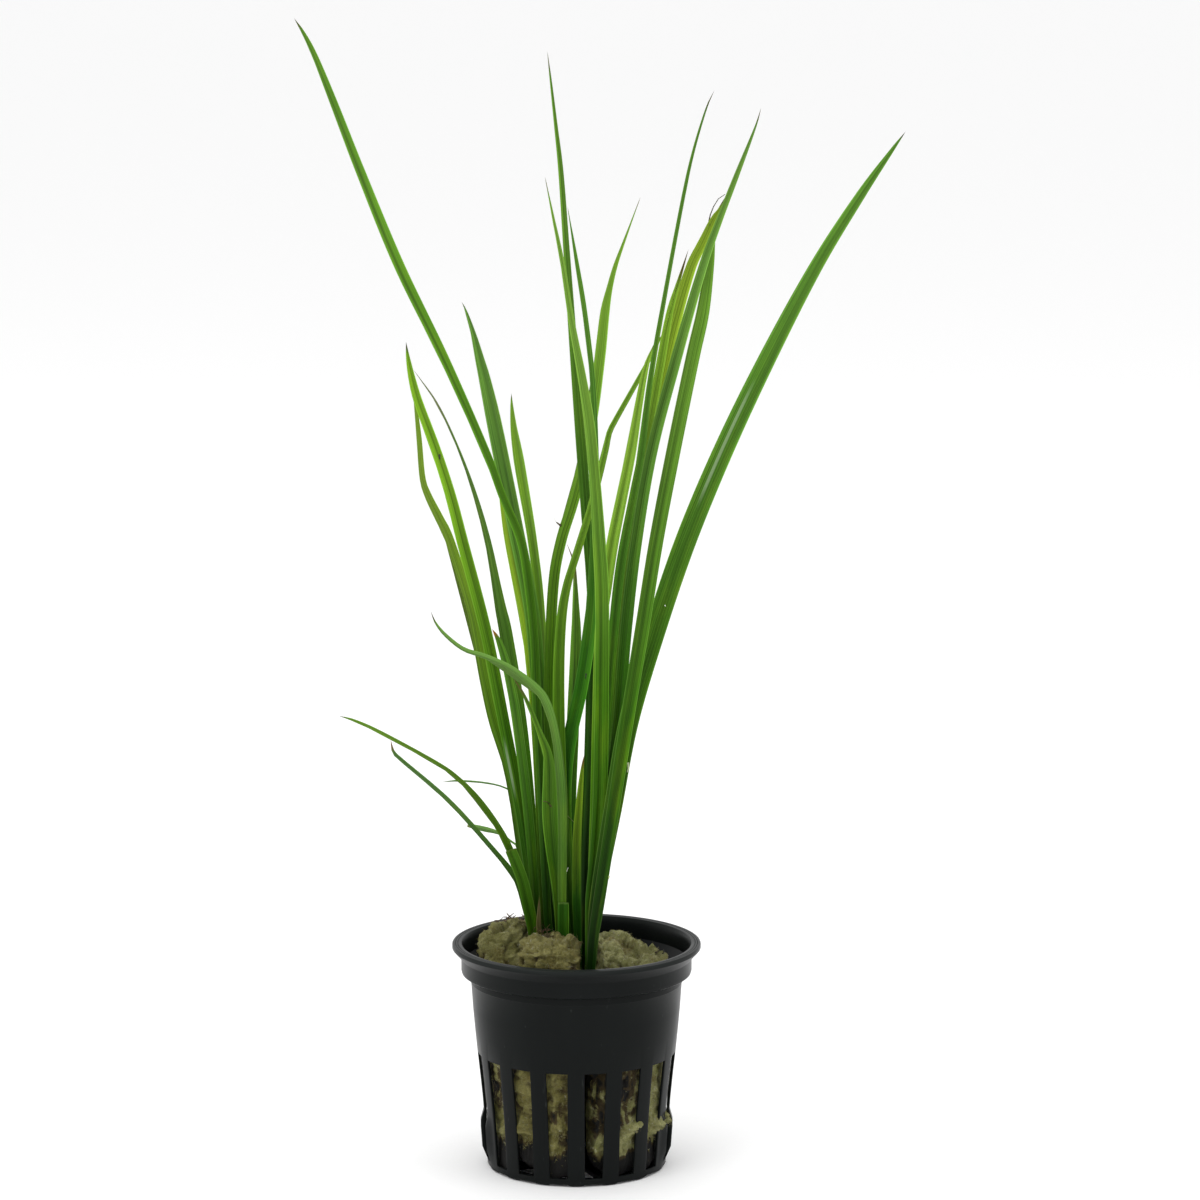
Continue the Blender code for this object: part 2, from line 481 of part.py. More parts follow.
def leaf_rings(leaf):
    """Points along the leaf, closer where it bends, with the direction at each and its place 0 to 1."""
    stations = leaf_stations(leaf)
    fine = [spline(stations, i / 400) for i in range(401)]
    along = [(fine[min(i + 4, 400)].xyz - fine[max(i - 4, 0)].xyz).normalized() for i in range(401)]
    spent = [0.0]
    for i in range(400):
        step = (fine[i + 1].xyz - fine[i].xyz).length / RING_PITCH
        spent.append(spent[-1] + step + along[i].angle(along[i + 1], 0.0) / RING_BEND)
    count = max(5, round(spent[-1]) + 1)
    picks = [min(range(401), key=lambda i: abs(spent[i] - spent[-1] * k / count)) for k in range(count + 1)]
    return [(fine[pick], along[pick], place / count) for place, pick in enumerate(picks)]


def leaf_section(leaf, ring):
    """Left margin, keel, right margin and channel of the folded blade at one ring."""
    station, along, place = ring
    turn = math.radians(leaf.turn) * place
    facing = Vector((math.sin(turn), -math.cos(turn), 0.0))
    side = along.cross(facing).normalized()
    keel = side.cross(along).normalized() * -leaf.keel
    half = max(station.w, 0.3) / math.cos(turn) / 2
    thickness = min(max(0.16 * station.w + 0.1, 0.26), 0.6)
    centre = station.xyz
    margin = keel * (-half * math.tan(FOLD))
    return [centre - side * half + margin,
            centre + keel * (thickness / 2),
            centre + side * half + margin,
            centre - keel * (thickness / 2)]


def build_leaf(leaf, material):
    """Pull the foot section along the leaf ring by ring and draw the end to one point."""
    rings = leaf_rings(leaf)
    bm = bmesh.new()
    cap = bm.faces.new([bm.verts.new(point) for point in leaf_section(leaf, rings[0])])
    last = None if leaf.blunt else -1
    for ring in rings[1:last]:
        grown = bmesh.ops.extrude_face_region(bm, geom=[cap, *cap.edges])["geom"]
        cap = next(item for item in grown if isinstance(item, bmesh.types.BMFace))
        for vert, point in zip([loop.vert for loop in cap.loops], leaf_section(leaf, ring)):
            vert.co = point
    tip = cap.calc_center_median() if leaf.blunt else rings[-1][0].xyz
    bmesh.ops.poke(bm, faces=[cap])["verts"][0].co = tip
    bmesh.ops.triangulate(bm, faces=bm.faces)
    finish(bm, leaf.name, material)


def build_crown(name, place, spread, material):
    """A squat rootstock with a flat top just under the leaf feet."""
    bm = bmesh.new()
    bmesh.ops.create_uvsphere(bm, u_segments=10, v_segments=7, radius=1.0)
    top = LEAF_FOOT - 1.5 * GAP
    bmesh.ops.scale(bm, vec=(*spread, CROWN_HEIGHT), verts=bm.verts)
    bmesh.ops.translate(bm, vec=(*place, top - 0.35 * CROWN_HEIGHT), verts=bm.verts)
    for vert in bm.verts:
        vert.co.z = min(vert.co.z, top)
    bmesh.ops.dissolve_limit(bm, angle_limit=math.radians(1), verts=bm.verts, edges=bm.edges)
    bmesh.ops.triangulate(bm, faces=bm.faces)
    finish(bm, name, material)


def build_plant():
    greens = {tone: plain_material(f"{tone} leaf", colour, 0.45) for tone, colour in TONES.items()}
    for leaf in LEAVES:
        build_leaf(leaf, greens[leaf.tone])
    rootstock = plain_material("brown rootstock", (0.090, 0.055, 0.025), 0.85)
    for name, (place, spread) in CROWNS.items():
        build_crown(name, place, spread, rootstock)


def main():
    clear_scene()
    build_pot()
    build_wool()
    build_plant()


main()
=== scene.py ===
"""Looks of the potted Cyperus helferi: satin black net pot, damp mineral wool and grassy leaves.

Sizes are millimetres until a mesh is finished, which turns them into metres. A leaf is drawn, like its solid,
as points (x, z, width) on the plane y = 0 seen from EYE, and each point slides along its sight line to the
leaf's own depth.
"""
import math
import random
from collections import namedtuple

import bmesh
import bpy
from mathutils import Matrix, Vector, noise
from mathutils.bvhtree import BVHTree


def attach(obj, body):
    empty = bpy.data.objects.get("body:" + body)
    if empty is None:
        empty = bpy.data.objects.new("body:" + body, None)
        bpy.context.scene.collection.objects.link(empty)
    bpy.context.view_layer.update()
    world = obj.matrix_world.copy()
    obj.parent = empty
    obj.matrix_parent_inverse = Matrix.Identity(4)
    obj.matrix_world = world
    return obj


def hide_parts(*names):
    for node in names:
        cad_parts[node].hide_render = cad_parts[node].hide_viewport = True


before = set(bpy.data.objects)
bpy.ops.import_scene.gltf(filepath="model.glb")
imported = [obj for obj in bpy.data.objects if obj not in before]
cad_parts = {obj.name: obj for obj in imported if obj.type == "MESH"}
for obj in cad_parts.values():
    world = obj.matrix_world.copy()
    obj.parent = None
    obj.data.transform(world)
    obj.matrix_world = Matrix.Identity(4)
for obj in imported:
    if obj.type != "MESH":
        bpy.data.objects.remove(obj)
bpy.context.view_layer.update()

MM = 0.001
EYE = Vector((5.2, -1000.0, 294.0))
CAMERA_TILT = math.radians(80.52)
CAMERA_LENS = 139.2

# Pot: SLOT_CUT and BASE_CUT are half the first width of an opening in the wall and in the base, and nothing
# inside CORE_RADIUS belongs to the wall
POT_HEIGHT = 50.4
LIP_RADIUS = 27.5
LIP_INNER_RADIUS = 25.4
COLLAR_RADIUS = 25.5
COLLAR_FOOT = 43.9
WALL_TOP_RADIUS = 23.4
SLOT_RADIUS = 22.0
BULGE = 1.0
FOOT_RADIUS = 19.5
WALL = 0.6
BASE = 1.2
ABOVE_BASE = 1.25
CORE_RADIUS = 15.0
SLOTS = 16
STEPS_PER_SLOT = 12
SECTOR = math.tau / SLOTS
STEP = math.tau / (SLOTS * STEPS_PER_SLOT)
SLOT_CUT = 3 * STEP
BASE_CUT = 8 * STEP
SLOT_TOP = 26.0
SLOT_BOTTOM = 1.8
SLOT_TOP_WIDTH = 4.85
SLOT_BOTTOM_WIDTH = 3.9
SPOKE_WIDTH = 2.6
HUB_RADIUS = 7.0
RING_RADIUS = 16.5

# Wool: voxel size and fibres of a lump, heights between which its side turns into its open top, the height
# below which it is torn, the height of the solids' bottom, and how far out it may reach at each height
VOXEL = 0.36
FIBRES = 7000
TOP_STARTS = 40.0
TOP_FULL = 44.0
TORN_BELOW = 14.0
SOLID_FOOT = 4.3
INNER_WALL = [(1.2, 19.1), (8.5, 19.75), (12.7, 20.05), (26.0, 21.4), (43.6, 22.35), (46.0, 24.9)]

# Leaves: height of their feet, slope of each half beside the keel, length of a row, columns across one face, steps
# that a leaf's length is measured in, how far the back's vein map lies from the front's, and the lightest band of
# painted light
LEAF_FOOT = 42.0
FOLD = math.radians(16)
BLADE_ROW = 1.5
BLADE_COLUMNS = 10
FINE_STEPS = 600
BACK_VEINS = 20.0
LIGHTEST = 1.5


# Helpers

def blend(low, high, share):
    return low + (high - low) * share


def ease(low, high, value):
    """0 at low, 1 at high and a smooth step between them; low may be the larger."""
    share = min(max((value - low) / (high - low), 0.0), 1.0)
    return share * share * (3.0 - 2.0 * share)


def look_up(table, place):
    """Value at a place of a table of (place, value) pairs, held beyond its ends."""
    for (low, first), (high, second) in zip(table, table[1:]):
        if place <= high:
            return blend(first, second, max(0.0, (place - low) / (high - low)))
    return table[-1][1]


def azimuth(place):
    return math.atan2(place.y, place.x)


def around(angle, radius, height):
    """The point at an azimuth in degrees, a radius and a height."""
    turn = math.radians(angle)
    return Vector((radius * math.cos(turn), radius * math.sin(turn), height))


def rgba(colour):
    """Linear colour of a six-digit web colour or of three numbers that are linear already."""
    if isinstance(colour, str):
        parts = [int(colour[i:i + 2], 16) / 255 for i in (1, 3, 5)]
        colour = [c / 12.92 if c <= 0.04045 else ((c + 0.055) / 1.055) ** 2.4 for c in parts]
    return (*colour, 1.0)


def to_mesh(bm, name):
    mesh = bpy.data.meshes.new(name)
    bm.to_mesh(mesh)
    bm.free()
    return mesh


def add_object(name, data):
    made = bpy.data.objects.new(name, data)
    bpy.context.scene.collection.objects.link(made)
    return made


def add_piece(name, mesh, finish):
    """Put a mesh in metres into the scene as a piece of the object."""
    mesh.shade_smooth()
    mesh.materials.append(finish)
    piece = add_object(name, mesh)
    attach(piece, "root")
    return piece


def finish_piece(bm, name, finish, node, crease):
    """Turn a bmesh in millimetres into the piece for a node; edges sharper than crease degrees stay sharp."""
    bmesh.ops.scale(bm, vec=(MM, MM, MM), verts=bm.verts)
    mesh = to_mesh(bm, name)
    piece = add_piece(name, mesh, finish)
    mesh.set_sharp_from_angle(angle=math.radians(crease))
    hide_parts(node)
    return piece


# Shader nodes

class Number:
    """A number in a shader, so that sums are written as Python expressions."""

    def __init__(self, finish, socket):
        self.finish = finish
        self.socket = socket

    def math(self, operation, *values):
        node = self.finish.node("ShaderNodeMath", {"operation": operation}, dict(enumerate(values)))
        return Number(self.finish, node.outputs[0])

    def __add__(self, other):
        return self.math("ADD", self, other)

    def __sub__(self, other):
        return self.math("SUBTRACT", self, other)

    def __mul__(self, other):
        return self.math("MULTIPLY", self, other)

    def __rsub__(self, other):
        return self.math("SUBTRACT", other, self)

    __radd__ = __add__
    __rmul__ = __mul__

    def size(self):
        return self.math("ABSOLUTE", self)

    def sine(self):
        return self.math("SINE", self)

    def between(self, low, high):
        """0 below low, 1 above high and a smooth step between them."""
        node = self.finish.node("ShaderNodeMapRange", {"interpolation_type": "SMOOTHSTEP"},
                                {"Value": self, "From Min": low, "From Max": high})
        return Number(self.finish, node.outputs[0])


class Finish:
    """One procedural material."""

    def __init__(self, name, roughness=0.5):
        self.material = bpy.data.materials.new(name)
        self.material.use_nodes = True
        self.tree = self.material.node_tree
        self.tree.nodes.clear()
        output = self.tree.nodes.new("ShaderNodeOutputMaterial")
        self.surface = self.node("ShaderNodeBsdfPrincipled", {}, {"Roughness": roughness})
        self.tree.links.new(self.surface.outputs[0], output.inputs["Surface"])

    def node(self, kind, settings=None, inputs=None):
        made = self.tree.nodes.new(kind)
        for key, value in (settings or {}).items():
            if key == "stops":
                self.fill_ramp(made.color_ramp, value)
            else:
                setattr(made, key, value)
        for key, value in (inputs or {}).items():
            self.feed(made.inputs[key], value)
        return made

    def feed(self, socket, value):
        """Link a socket to a number or an output, or give it a plain value or a colour."""
        if isinstance(value, Number):
            value = value.socket
        if isinstance(value, bpy.types.NodeSocket):
            self.tree.links.new(value, socket)
        elif socket.type == "RGBA":
            socket.default_value = rgba(value)
        else:
            socket.default_value = value

    @staticmethod
    def fill_ramp(ramp, stops):
        while len(ramp.elements) < len(stops):
            ramp.elements.new(0.5)
        for element, (place, colour) in zip(ramp.elements, stops):
            element.position = place
            element.color = rgba(colour)

    def set(self, socket, value):
        self.feed(self.surface.inputs[socket], value)

    def place(self, scale=(1.0, 1.0, 1.0)):
        """Object coordinates in metres, scaled."""
        source = self.node("ShaderNodeTexCoord").outputs["Object"]
        return self.node("ShaderNodeMapping", {}, {"Vector": source, "Scale": scale}).outputs[0]

    def attribute(self, name):
        """A number stored at each point of the mesh."""
        return Number(self, self.node("ShaderNodeAttribute", {"attribute_name": name}).outputs["Fac"])

    def map_axes(self, name):
        """The two numbers of a UV map."""
        uv = self.node("ShaderNodeUVMap", {"uv_map": name}).outputs[0]
        parts = self.node("ShaderNodeSeparateXYZ", {}, {0: uv})
        return Number(self, parts.outputs[0]), Number(self, parts.outputs[1])

    def vector(self, x, y, z=0.0):
        return self.node("ShaderNodeCombineXYZ", {}, {0: x, 1: y, 2: z}).outputs[0]

    def noise(self, vector, scale, detail=4.0, roughness=0.55, distortion=0.0):
        node = self.node("ShaderNodeTexNoise", {}, {
            "Vector": vector, "Scale": scale, "Detail": detail, "Roughness": roughness,
            "Distortion": distortion})
        return Number(self, node.outputs["Fac"])

    def mix(self, share, first, second, mode="MIX"):
        node = self.node("ShaderNodeMix", {"data_type": "RGBA", "blend_type": mode},
                         {0: share, 6: first, 7: second})
        return node.outputs[2]

    def ramp(self, value, stops):
        return self.node("ShaderNodeValToRGB", {"stops": stops}, {0: value}).outputs[0]

    def brighten(self, colour, gain):
        """Multiply a colour by a number."""
        node = self.node("ShaderNodeVectorMath", {"operation": "SCALE"}, {0: colour, 3: gain})
        return node.outputs[0]

    def bump(self, height, strength, distance):
        node = self.node("ShaderNodeBump", {}, {
            "Height": height, "Strength": strength, "Distance": distance})
        self.set("Normal", node.outputs[0])


# Camera, lights and floor

def set_camera():
    camera = add_object("camera", bpy.data.cameras.new("camera"))
    camera.location = EYE * MM
    camera.rotation_euler = (CAMERA_TILT, 0.0, 0.0)
    camera.data.lens = CAMERA_LENS
    camera.data.sensor_width = 36.0
    camera.data.clip_start = 0.01
    bpy.context.scene.camera = camera


def add_softbox(name, place, target, size, power):
    data = bpy.data.lights.new(name, "AREA")
    data.shape = "RECTANGLE"
    data.size, data.size_y = size
    data.energy = power
    lamp = add_object(name, data)
    lamp.location = place
    lamp.rotation_euler = (Vector(target) - Vector(place)).to_track_quat("-Z", "Y").to_euler()


def light_studio():
    world = bpy.data.worlds.new("studio air")
    world.use_nodes = True
    colour, strength = world.node_tree.nodes["Background"].inputs[:2]
    colour.default_value = (1.0, 1.0, 1.0, 1.0)
    strength.default_value = 1.0
    bpy.context.scene.world = world
    add_softbox("left softbox", (-0.75, -0.75, 0.85), (0.0, 0.0, 0.12), (0.7, 0.9), 4.6)
    add_softbox("right softbox", (0.95, -0.45, 0.65), (0.0, 0.0, 0.12), (0.6, 0.8), 1.8)
    add_softbox("top softbox", (0.0, 0.15, 1.1), (0.0, 0.0, 0.1), (0.9, 0.9), 2.2)
    bpy.context.scene.view_settings.view_transform = "Standard"


def lay_floor():
    paper = Finish("white studio paper", 0.85)
    grain = paper.noise(paper.place(), 900.0, 3.0)
    paper.set("Base Color", paper.mix(grain, (0.93, 0.93, 0.93), (0.97, 0.97, 0.97)))
    bm = bmesh.new()
    bmesh.ops.create_grid(bm, x_segments=1, y_segments=1, size=12.0)
    floor = add_object("floor", to_mesh(bm, "floor"))
    floor.data.materials.append(paper.material)


# Pot

def plastic_finish():
    """Near-black satin plastic with a faint flow pattern, dust specks, fine scratches and a faint painted highlight
    along the lip.
    """
    finish = Finish("satin black plastic")
    place = finish.place()
    flow = finish.noise(finish.place((1.0, 1.0, 0.3)), 90.0, 4.0)
    dust = finish.noise(place, 1900.0, 3.0, 0.7).between(0.70, 0.76)
    scratch = finish.noise(finish.place((1.0, 1.0, 0.12)), 1500.0, 2.0, 0.5, 1.0).between(0.735, 0.76)
    body = finish.mix(flow, "#0b0d0d", "#131615")
    height = Number(finish, finish.node("ShaderNodeSeparateXYZ", {}, {0: place}).outputs[2])
    # Painted highlight: the top of the pot by the lip is mixed a little towards pale grey; the dust specks and
    # scratches are wear.
    lip_highlight = height.between((POT_HEIGHT - 1.6) * MM, (POT_HEIGHT - 0.2) * MM)
    wear_and_highlight = finish.mix(dust * 0.06 + scratch * 0.12 + lip_highlight * 0.05, body, "#6b726e")
    finish.set("Base Color", wear_and_highlight)
    finish.set("Roughness", flow * 0.14 + dust * 0.2 + 0.25)
    finish.set("Specular IOR Level", 0.07)
    finish.bump(finish.noise(place, 2600.0, 2.0), 0.10, 0.00005)
    return finish.material


def pot_profile():
    """Closed half section of the pot, from the outer middle of the base round the lip to the inner middle."""
    top = POT_HEIGHT
    outer = [
        (0.0, 0.0), (HUB_RADIUS, 0.0), (RING_RADIUS, 0.0), (FOOT_RADIUS - 0.3, 0.0), (FOOT_RADIUS + 0.35, 0.3),
        (19.75, 1.1), (19.85, SLOT_BOTTOM), (20.05, 4.2), (20.2, 6.5), (20.35, 8.5), (20.45, 10.2), (20.57, 11.7),
        (20.65, 12.7), (20.9, 15.5), (21.4, 20.5), (SLOT_RADIUS, SLOT_TOP),
        (22.5, 31.0), (22.95, 36.0), (WALL_TOP_RADIUS - 0.08, COLLAR_FOOT - 2.3),
        (WALL_TOP_RADIUS + 0.04, COLLAR_FOOT - 2.15), (WALL_TOP_RADIUS + 0.06, COLLAR_FOOT - 0.75),
        (WALL_TOP_RADIUS + 0.3, COLLAR_FOOT - 0.5), (COLLAR_RADIUS - 0.5, COLLAR_FOOT - 0.3),
        (COLLAR_RADIUS - 0.15, COLLAR_FOOT - 0.05), (COLLAR_RADIUS, COLLAR_FOOT + 0.5), (COLLAR_RADIUS, top - 3.3),
        (COLLAR_RADIUS + 0.15, top - 3.0), (LIP_RADIUS - 0.25, top - 1.25), (LIP_RADIUS, top - 0.95),
        (LIP_RADIUS, top - 0.3), (LIP_RADIUS - 0.12, top - 0.08), (LIP_RADIUS - 0.3, top),
    ]
    grooves = []
    for radius in (LIP_RADIUS - 0.75, LIP_RADIUS - 1.25):
        grooves += [(radius + 0.12, top), (radius, top - 0.14), (radius - 0.12, top)]
    inner = [
        (LIP_INNER_RADIUS + 0.2, top), (LIP_INNER_RADIUS + 0.03, top - 0.07), (LIP_INNER_RADIUS - 0.1, top - 0.3),
        (COLLAR_RADIUS - WALL, top - 0.9), (COLLAR_RADIUS - WALL, COLLAR_FOOT + 2.2),
        (WALL_TOP_RADIUS - WALL, COLLAR_FOOT - 0.2), (22.35, 36.0), (21.9, 31.0), (SLOT_RADIUS - WALL, SLOT_TOP),
        (20.8, 20.5), (20.3, 15.5), (20.05, 12.7), (19.75, 8.5), (19.6, 6.5), (19.45, 4.2), (19.25, SLOT_BOTTOM),
        (19.1, BASE), (RING_RADIUS, BASE), (HUB_RADIUS, BASE), (0.0, BASE),
    ]
    return outer + grooves + inner


def slot_half_angle(radius, height):
    width = blend(SLOT_BOTTOM_WIDTH, SLOT_TOP_WIDTH, (height - SLOT_BOTTOM) / (SLOT_TOP - SLOT_BOTTOM))
    return math.asin(min(width / 2 / radius, 0.9))


def from_middle(angle, pitch):
    """Signed distance of an angle from the middle of its sector."""
    return (angle % pitch) - pitch / 2


def squeeze(offset, cut, wanted, half):
    """Move the edge of an opening from cut to wanted and spread the rest of the half sector evenly."""
    size = abs(offset)
    moved = size * wanted / cut if size <= cut else wanted + (size - cut) * (half - wanted) / (half - cut)
    return math.copysign(moved, offset)


def shape_openings(bm):
    """Turn the columns of the wall and the base to the sides of the openings, and bulge the ribs at the sides."""
    for vert in bm.verts:
        radius = vert.co.xy.length
        if radius < 1.0:
            continue
        angle = azimuth(vert.co)
        height = vert.co.z
        if height < ABOVE_BASE and radius < RING_RADIUS + 0.1:
            offset = from_middle(angle - SECTOR, 2 * SECTOR)
            wanted = SECTOR - math.asin(SPOKE_WIDTH / 2 / radius)
            moved = squeeze(offset, BASE_CUT, wanted, SECTOR)
        else:
            offset = from_middle(angle, SECTOR)
            wanted = slot_half_angle(radius, min(max(height, SLOT_BOTTOM), SLOT_TOP))
            fade = 1.0 - ease(SLOT_TOP, SLOT_TOP + 8.0, height)
            moved = offset + (squeeze(offset, SLOT_CUT, wanted, SECTOR / 2) - offset) * fade
            side = ease(0.90, 0.985, abs(math.cos(angle)))
            bow = ease(13.2, 9.5, height) * ease(0.0, 3.5, height)
            radius += BULGE * side * bow * (1.0 if radius > 20.0 else 0.35)
            if height < 0.5:
                rib = ease(0.45, 0.75, abs(offset) / (SECTOR / 2))
                vert.co.z += 0.28 * (1.0 - rib) * ease(18.0, 19.0, radius)
        angle += moved - offset
        vert.co.xy = (radius * math.cos(angle), radius * math.sin(angle))


def open_up(bm, inside, start, pitch):
    """Cut matching windows in both skins, one in each sector of pitch from start, and join their rims."""
    windows = [face for face in bm.faces if inside(face.calc_center_median())]
    groups = {}
    for face in windows:
        turn = (azimuth(face.calc_center_median()) - start) % math.tau
        groups.setdefault(int(turn / pitch), []).append(face)
    rims = []
    for faces in groups.values():
        chosen = set(faces)
        rims.append([edge for edge in {e for f in faces for e in f.edges}
                     if sum(f in chosen for f in edge.link_faces) == 1])
    bmesh.ops.delete(bm, geom=windows, context="FACES")
    for rim in rims:
        bmesh.ops.bridge_loops(bm, edges=rim)
    return [edge for rim in rims for edge in rim if edge.is_valid]


def build_pot():
    """Spin the wall, cut the slots and the openings of the base, and round their edges."""
    bm = bmesh.new()
    points = [bm.verts.new((r, 0.0, z)) for r, z in pot_profile()]
    edges = [bm.edges.new(pair) for pair in zip(points, points[1:])]
    bmesh.ops.spin(bm, geom=points + edges, cent=(0, 0, 0), axis=(0, 0, 1), angle=math.tau,
                   steps=SLOTS * STEPS_PER_SLOT, use_merge=True)
    bmesh.ops.remove_doubles(bm, verts=bm.verts, dist=0.001)

    def in_slot(place):
        offset = from_middle(azimuth(place), SECTOR)
        return SLOT_BOTTOM < place.z < SLOT_TOP and place.xy.length > CORE_RADIUS and abs(offset) < SLOT_CUT

    def in_base(place):
        offset = from_middle(azimuth(place) - SECTOR, 2 * SECTOR)
        return place.z < ABOVE_BASE and HUB_RADIUS < place.xy.length < RING_RADIUS and abs(offset) < BASE_CUT

    rims = open_up(bm, in_slot, 0.0, SECTOR) + open_up(bm, in_base, SECTOR, 2 * SECTOR)
    shape_openings(bm)
    bmesh.ops.bevel(bm, geom=rims, offset=0.12, segments=2, affect="EDGES", profile=0.5, material=-1,
                    clamp_overlap=True)
    bmesh.ops.recalc_face_normals(bm, faces=bm.faces)
    finish_piece(bm, "net_pot", plastic_finish(), "pot", 35)


# Mineral wool

def wool_finish(glint, pale_low, pale_high):
    """Olive fibres pressed into lumps, pale or darker at random, with painted glints, and painted shade from brown to
    near black in creases, low down and behind the slots.
    """
    finish = Finish("damp olive mineral wool")
    place = finish.place()
    hollow = finish.attribute("hollow")
    tufts = finish.noise(place, 380.0, 4.0, 0.6)
    fibres = finish.noise(finish.place((1.0, 1.0, 1.7)), 2000.0, 3.0, 0.7, 2.5).between(0.30, 0.70)
    stain = finish.noise(place, 150.0, 3.0).between(0.50, 0.68)
    # Painted glints: pale, smoother specks, left out where the wool is painted dark.
    lit = 1.0 - hollow.between(0.7, 1.2)
    painted_glints = finish.noise(place, 3300.0, 2.0, 0.6).between(0.72 - glint, 0.79 - glint) * lit
    pale = finish.mix(tufts.between(0.35, 0.65), pale_low, pale_high)
    damp = finish.mix(stain * 0.6, pale, "#7d6c34")
    # Painted shade: brown, then near black, where more shade is painted.
    torn = finish.mix(hollow.between(0.3, 1.0), damp, "#4c3e1a")
    deep_shade = finish.mix(hollow.between(1.2, 2.0), torn, "#0c0a05")
    rough = finish.brighten(deep_shade, fibres * 0.75 + 0.58)
    finish.set("Base Color", finish.mix(painted_glints * 0.8, rough, "#eeebdc"))
    finish.set("Roughness", 0.75 - painted_glints * 0.5)
    finish.set("Specular IOR Level", 0.4)
    finish.bump(fibres + tufts, 1.0, 0.0004)
    return finish.material


def fibre_finish():
    finish = Finish("glassy mineral fibres")
    shade = finish.attribute("shade")
    # The shade value picks each fibre's tone at random; the palest and smoothest fibres stand for painted glints.
    finish.set("Base Color", finish.ramp(shade, [
        (0.0, "#6d642c"), (0.35, "#928b4a"), (0.75, "#b3ae72"), (0.93, "#d0cea4"), (1.0, "#f0f0e2")]))
    finish.set("Roughness", shade * -0.25 + 0.5)
    return finish.material


def root_finish():
    finish = Finish("brown roots and crumbs", 0.7)
    bark = finish.noise(finish.place(), 1800.0, 4.0, 0.65)
    finish.set("Base Color", finish.ramp(bark, [
        (0.3, "#2c1e10"), (0.55, "#5b4524"), (0.75, "#8a7347")]))
    finish.bump(bark, 0.5, 0.0002)
    return finish.material


class Strands:
    """Thin tapering three-sided strands, joined in one mesh."""

    def __init__(self):
        self.corners = []
        self.faces = []
        self.shades = []

    def add(self, points, radius, shade=0.5, end=0.2):
        """A strand along points; its far end is as thick as end times its radius."""
        start = len(self.corners)
        last = len(points) - 1
        for index, point in enumerate(points):
            heading = (points[min(index + 1, last)] - points[max(index - 1, 0)]).normalized()
            thick = radius * blend(1.0, end, index / last)
            across = heading.orthogonal().normalized() * thick
            other = heading.cross(across).normalized() * thick
            self.corners += [point + across, point - across * 0.5 + other * 0.87,
                             point - across * 0.5 - other * 0.87]
        for index in range(last):
            low = start + index * 3
            self.faces += [(low + i, low + (i + 1) % 3, low + 3 + (i + 1) % 3, low + 3 + i) for i in range(3)]
        top = start + last * 3
        self.faces += [(start + 2, start + 1, start), (top, top + 1, top + 2)]
        self.shades += [shade] * (3 * len(points))

    def finish(self, name, material, slot):
        mesh = bpy.data.meshes.new(name)
        mesh.from_pydata([corner * MM for corner in self.corners], [], self.faces)
        mesh.attributes.new("shade", "FLOAT", "POINT").data.foreach_set("value", self.shades)
        add_piece(name, mesh, material)


def any_way(rng, spread=1.0):
    return Vector((rng.gauss(0, spread), rng.gauss(0, spread), rng.gauss(0, spread)))


# A torn chunk: azimuth and height of its middle, its radius, how far it is pulled out, aside (towards larger
# azimuths) and up, and how many fibres it ends in
Chunk = namedtuple("Chunk", "angle height size out side up fibres")

# A lump: how far its top has settled, how many painted glints it has, its pale colours and its chunks
Lump = namedtuple("Lump", "node settle glint pale_low pale_high chunks")

LUMPS = [
    Lump("rockwool_left", 1.3, 0.03, "#8d8b48", "#b9b674", [
        Chunk(-150, 9.0, 3.0, 0.8, 0.0, -0.8, 120)]),
    Lump("rockwool_middle", 2.3, 0.01, "#827c3c", "#aca562", [
        Chunk(-101, 12.0, 3.2, 1.9, 0.9, 0.0, 260),
        Chunk(-123, 11.3, 3.0, 0.9, -0.2, 0.0, 180),
        Chunk(-104, 7.5, 3.0, 0.7, 0.2, -1.4, 200),
        Chunk(-121, 8.5, 2.6, 0.6, 0.5, -0.6, 120),
        Chunk(-88, 14.0, 3.0, 0.9, 0.3, 0.0, 60)]),
    Lump("rockwool_right", 2.7, 0.075, "#8f9050", "#c0bf80", [
        Chunk(-21, 10.8, 4.6, 2.3, 0.0, -0.3, 520),
        Chunk(-32, 11.0, 3.2, 1.1, 0.5, -0.6, 160),
        Chunk(-34, 8.5, 3.0, 0.8, 0.0, -1.0, 120),
        Chunk(-55, 12.0, 3.0, 1.6, 0.6, 0.0, 240),
        Chunk(-60, 8.0, 3.0, 0.9, -0.6, -1.6, 160),
        Chunk(-75, 8.5, 3.2, 1.0, -0.8, -1.2, 160)]),
]

# Azimuth of each slot in front, and how high the wool's torn bottom hangs in it
WOOL_FEET = [(-170, 7.4), (-146, 7.6), (-124, 8.2), (-101, 6.9), (-79, 5.7), (-56, 5.2), (-34, 7.0), (-11, 7.4)]

# Where a lump's top lies lower or higher than its solid: middle, size and shift
DENTS = [(Vector(middle), size, Vector(shift)) for middle, size, shift in (
    ((-17.0, -8.0, 51.0), 6.5, (-0.4, -0.6, 0.7)),
    ((-1.8, -3.5, 53.0), 6.5, (0.0, 0.0, -2.8)),
    ((14.5, 5.0, 49.5), 7.5, (0.0, 0.0, -1.9)),
    ((14.0, 12.5, 48.5), 7.5, (0.0, 0.0, -2.6)),
    ((9.5, 9.0, 51.0), 5.0, (0.0, 0.0, -1.0)))]

